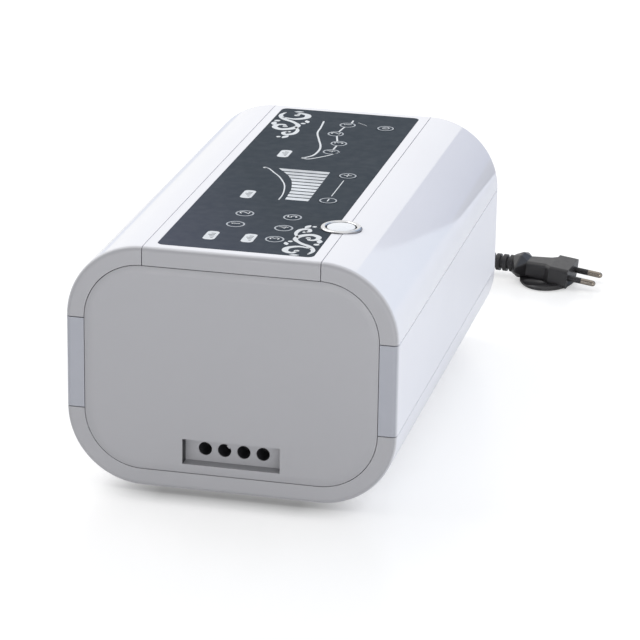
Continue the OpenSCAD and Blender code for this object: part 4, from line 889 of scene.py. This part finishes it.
STUDIO_LEVEL = 1.0
STUDIO_BRIGHT, STUDIO_BELOW = (1.0, 1.0, 1.0, 1), (0.72, 0.76, 0.86, 1)
STUDIO_RIGHT, STUDIO_FLAG = (0.97, 0.98, 1.0, 1), (0.3, 0.3, 0.3, 1)
STUDIO_DARK, STUDIO_MIDDLE = (0.08, 0.11, 0.26, 1), (0.56, 0.66, 0.82, 1)
STUDIO_LOW = (0.0, 0.0, 0.04, 1)
# Zones of the room: weights of the direction, and the sums at which a zone starts and is full
STRIP_SIDE = (1.0, -0.123, 0.0), 0.0, 0.012
STRIP_BEHIND = (0.0, 1.0, 0.0), 0.2, 0.5
# Lower end of the strip: level in front, lower to the rear
STRIP_LEVEL = (0.0, 0.0, 1.0), -0.090, -0.078
STRIP_SLOPE = (0.0, 10.4, 1.0), 9.645, 9.665
DARK_REAR = (0.0, 1.0, 0.018), 0.9363, 0.9375
DARK_LOW = (0.0, 3.8, -1.0), 3.618, 3.626
BELOW = (0.0, 0.0, -1.0), 0.06, 0.09
RIGHT = (1.0, 0.0, 0.0), 0.42, 0.8
FLAG = (-0.45, -0.8, 0.4), 0.6, 0.95
# Name, place, aim, size and power, in metres and watts
LIGHTS = (
    ("top_light", (-1.3, 0.3, 1.6), (0.0, 0.0, 0.08), (1.6, 1.6), 10.0),
    ("low_light", (0.1, -0.9, 0.08), (0.0, -0.2, -0.05), (1.4, 0.14), 3.9),
)


def make_studio():
    """White room with one darker strip behind on the right, which the lacquered shells mirror."""
    world = bpy.data.worlds.new("studio")
    bpy.context.scene.world = world
    world.use_nodes = True
    g = Tree(world.node_tree)
    way = g.add("ShaderNodeTexCoord").outputs["Generated"]

    def zone(weights, start, end):
        """0 to 1 as the direction's weighted sum goes from start to end."""
        return g.spread(g.vector("DOT_PRODUCT", way, weights)["Value"], 0.0, 1.0, start, end,
                        interpolation_type="SMOOTHSTEP")

    rear = zone(*DARK_REAR)
    strip = g.math("MULTIPLY", zone(*STRIP_SIDE), zone(*STRIP_BEHIND))
    strip = g.math("MULTIPLY", strip,
                   g.math("MAXIMUM", zone(*STRIP_LEVEL), zone(*STRIP_SLOPE)))
    inner = g.blend(rear, STUDIO_MIDDLE, STUDIO_DARK)
    inner = g.blend(g.math("MULTIPLY", zone(*DARK_LOW), rear), inner, STUDIO_LOW)
    around = g.blend(zone(*BELOW), STUDIO_BRIGHT, STUDIO_BELOW)
    around = g.blend(zone(*RIGHT), around, STUDIO_RIGHT)
    around = g.blend(zone(*FLAG), around, STUDIO_FLAG)
    back = g.tree.nodes["Background"].inputs
    g.link(g.blend(strip, around, inner), back["Color"])
    back["Strength"].default_value = STUDIO_LEVEL


def softbox(name, place, aim, size, power):
    light = bpy.data.lights.new(name, "AREA")
    light.shape, light.size, light.size_y = "RECTANGLE", size[0], size[1]
    light.energy = power
    lamp = bpy.data.objects.new(name, light)
    bpy.context.scene.collection.objects.link(lamp)
    lamp.location = place
    lamp.rotation_mode = "QUATERNION"
    lamp.rotation_quaternion = (Vector(aim) - Vector(place)).to_track_quat("-Z", "Y")


make_floor()
make_studio()
for light_row in LIGHTS:
    softbox(*light_row)

view = bpy.context.scene.view_settings
view.view_transform = "Standard"
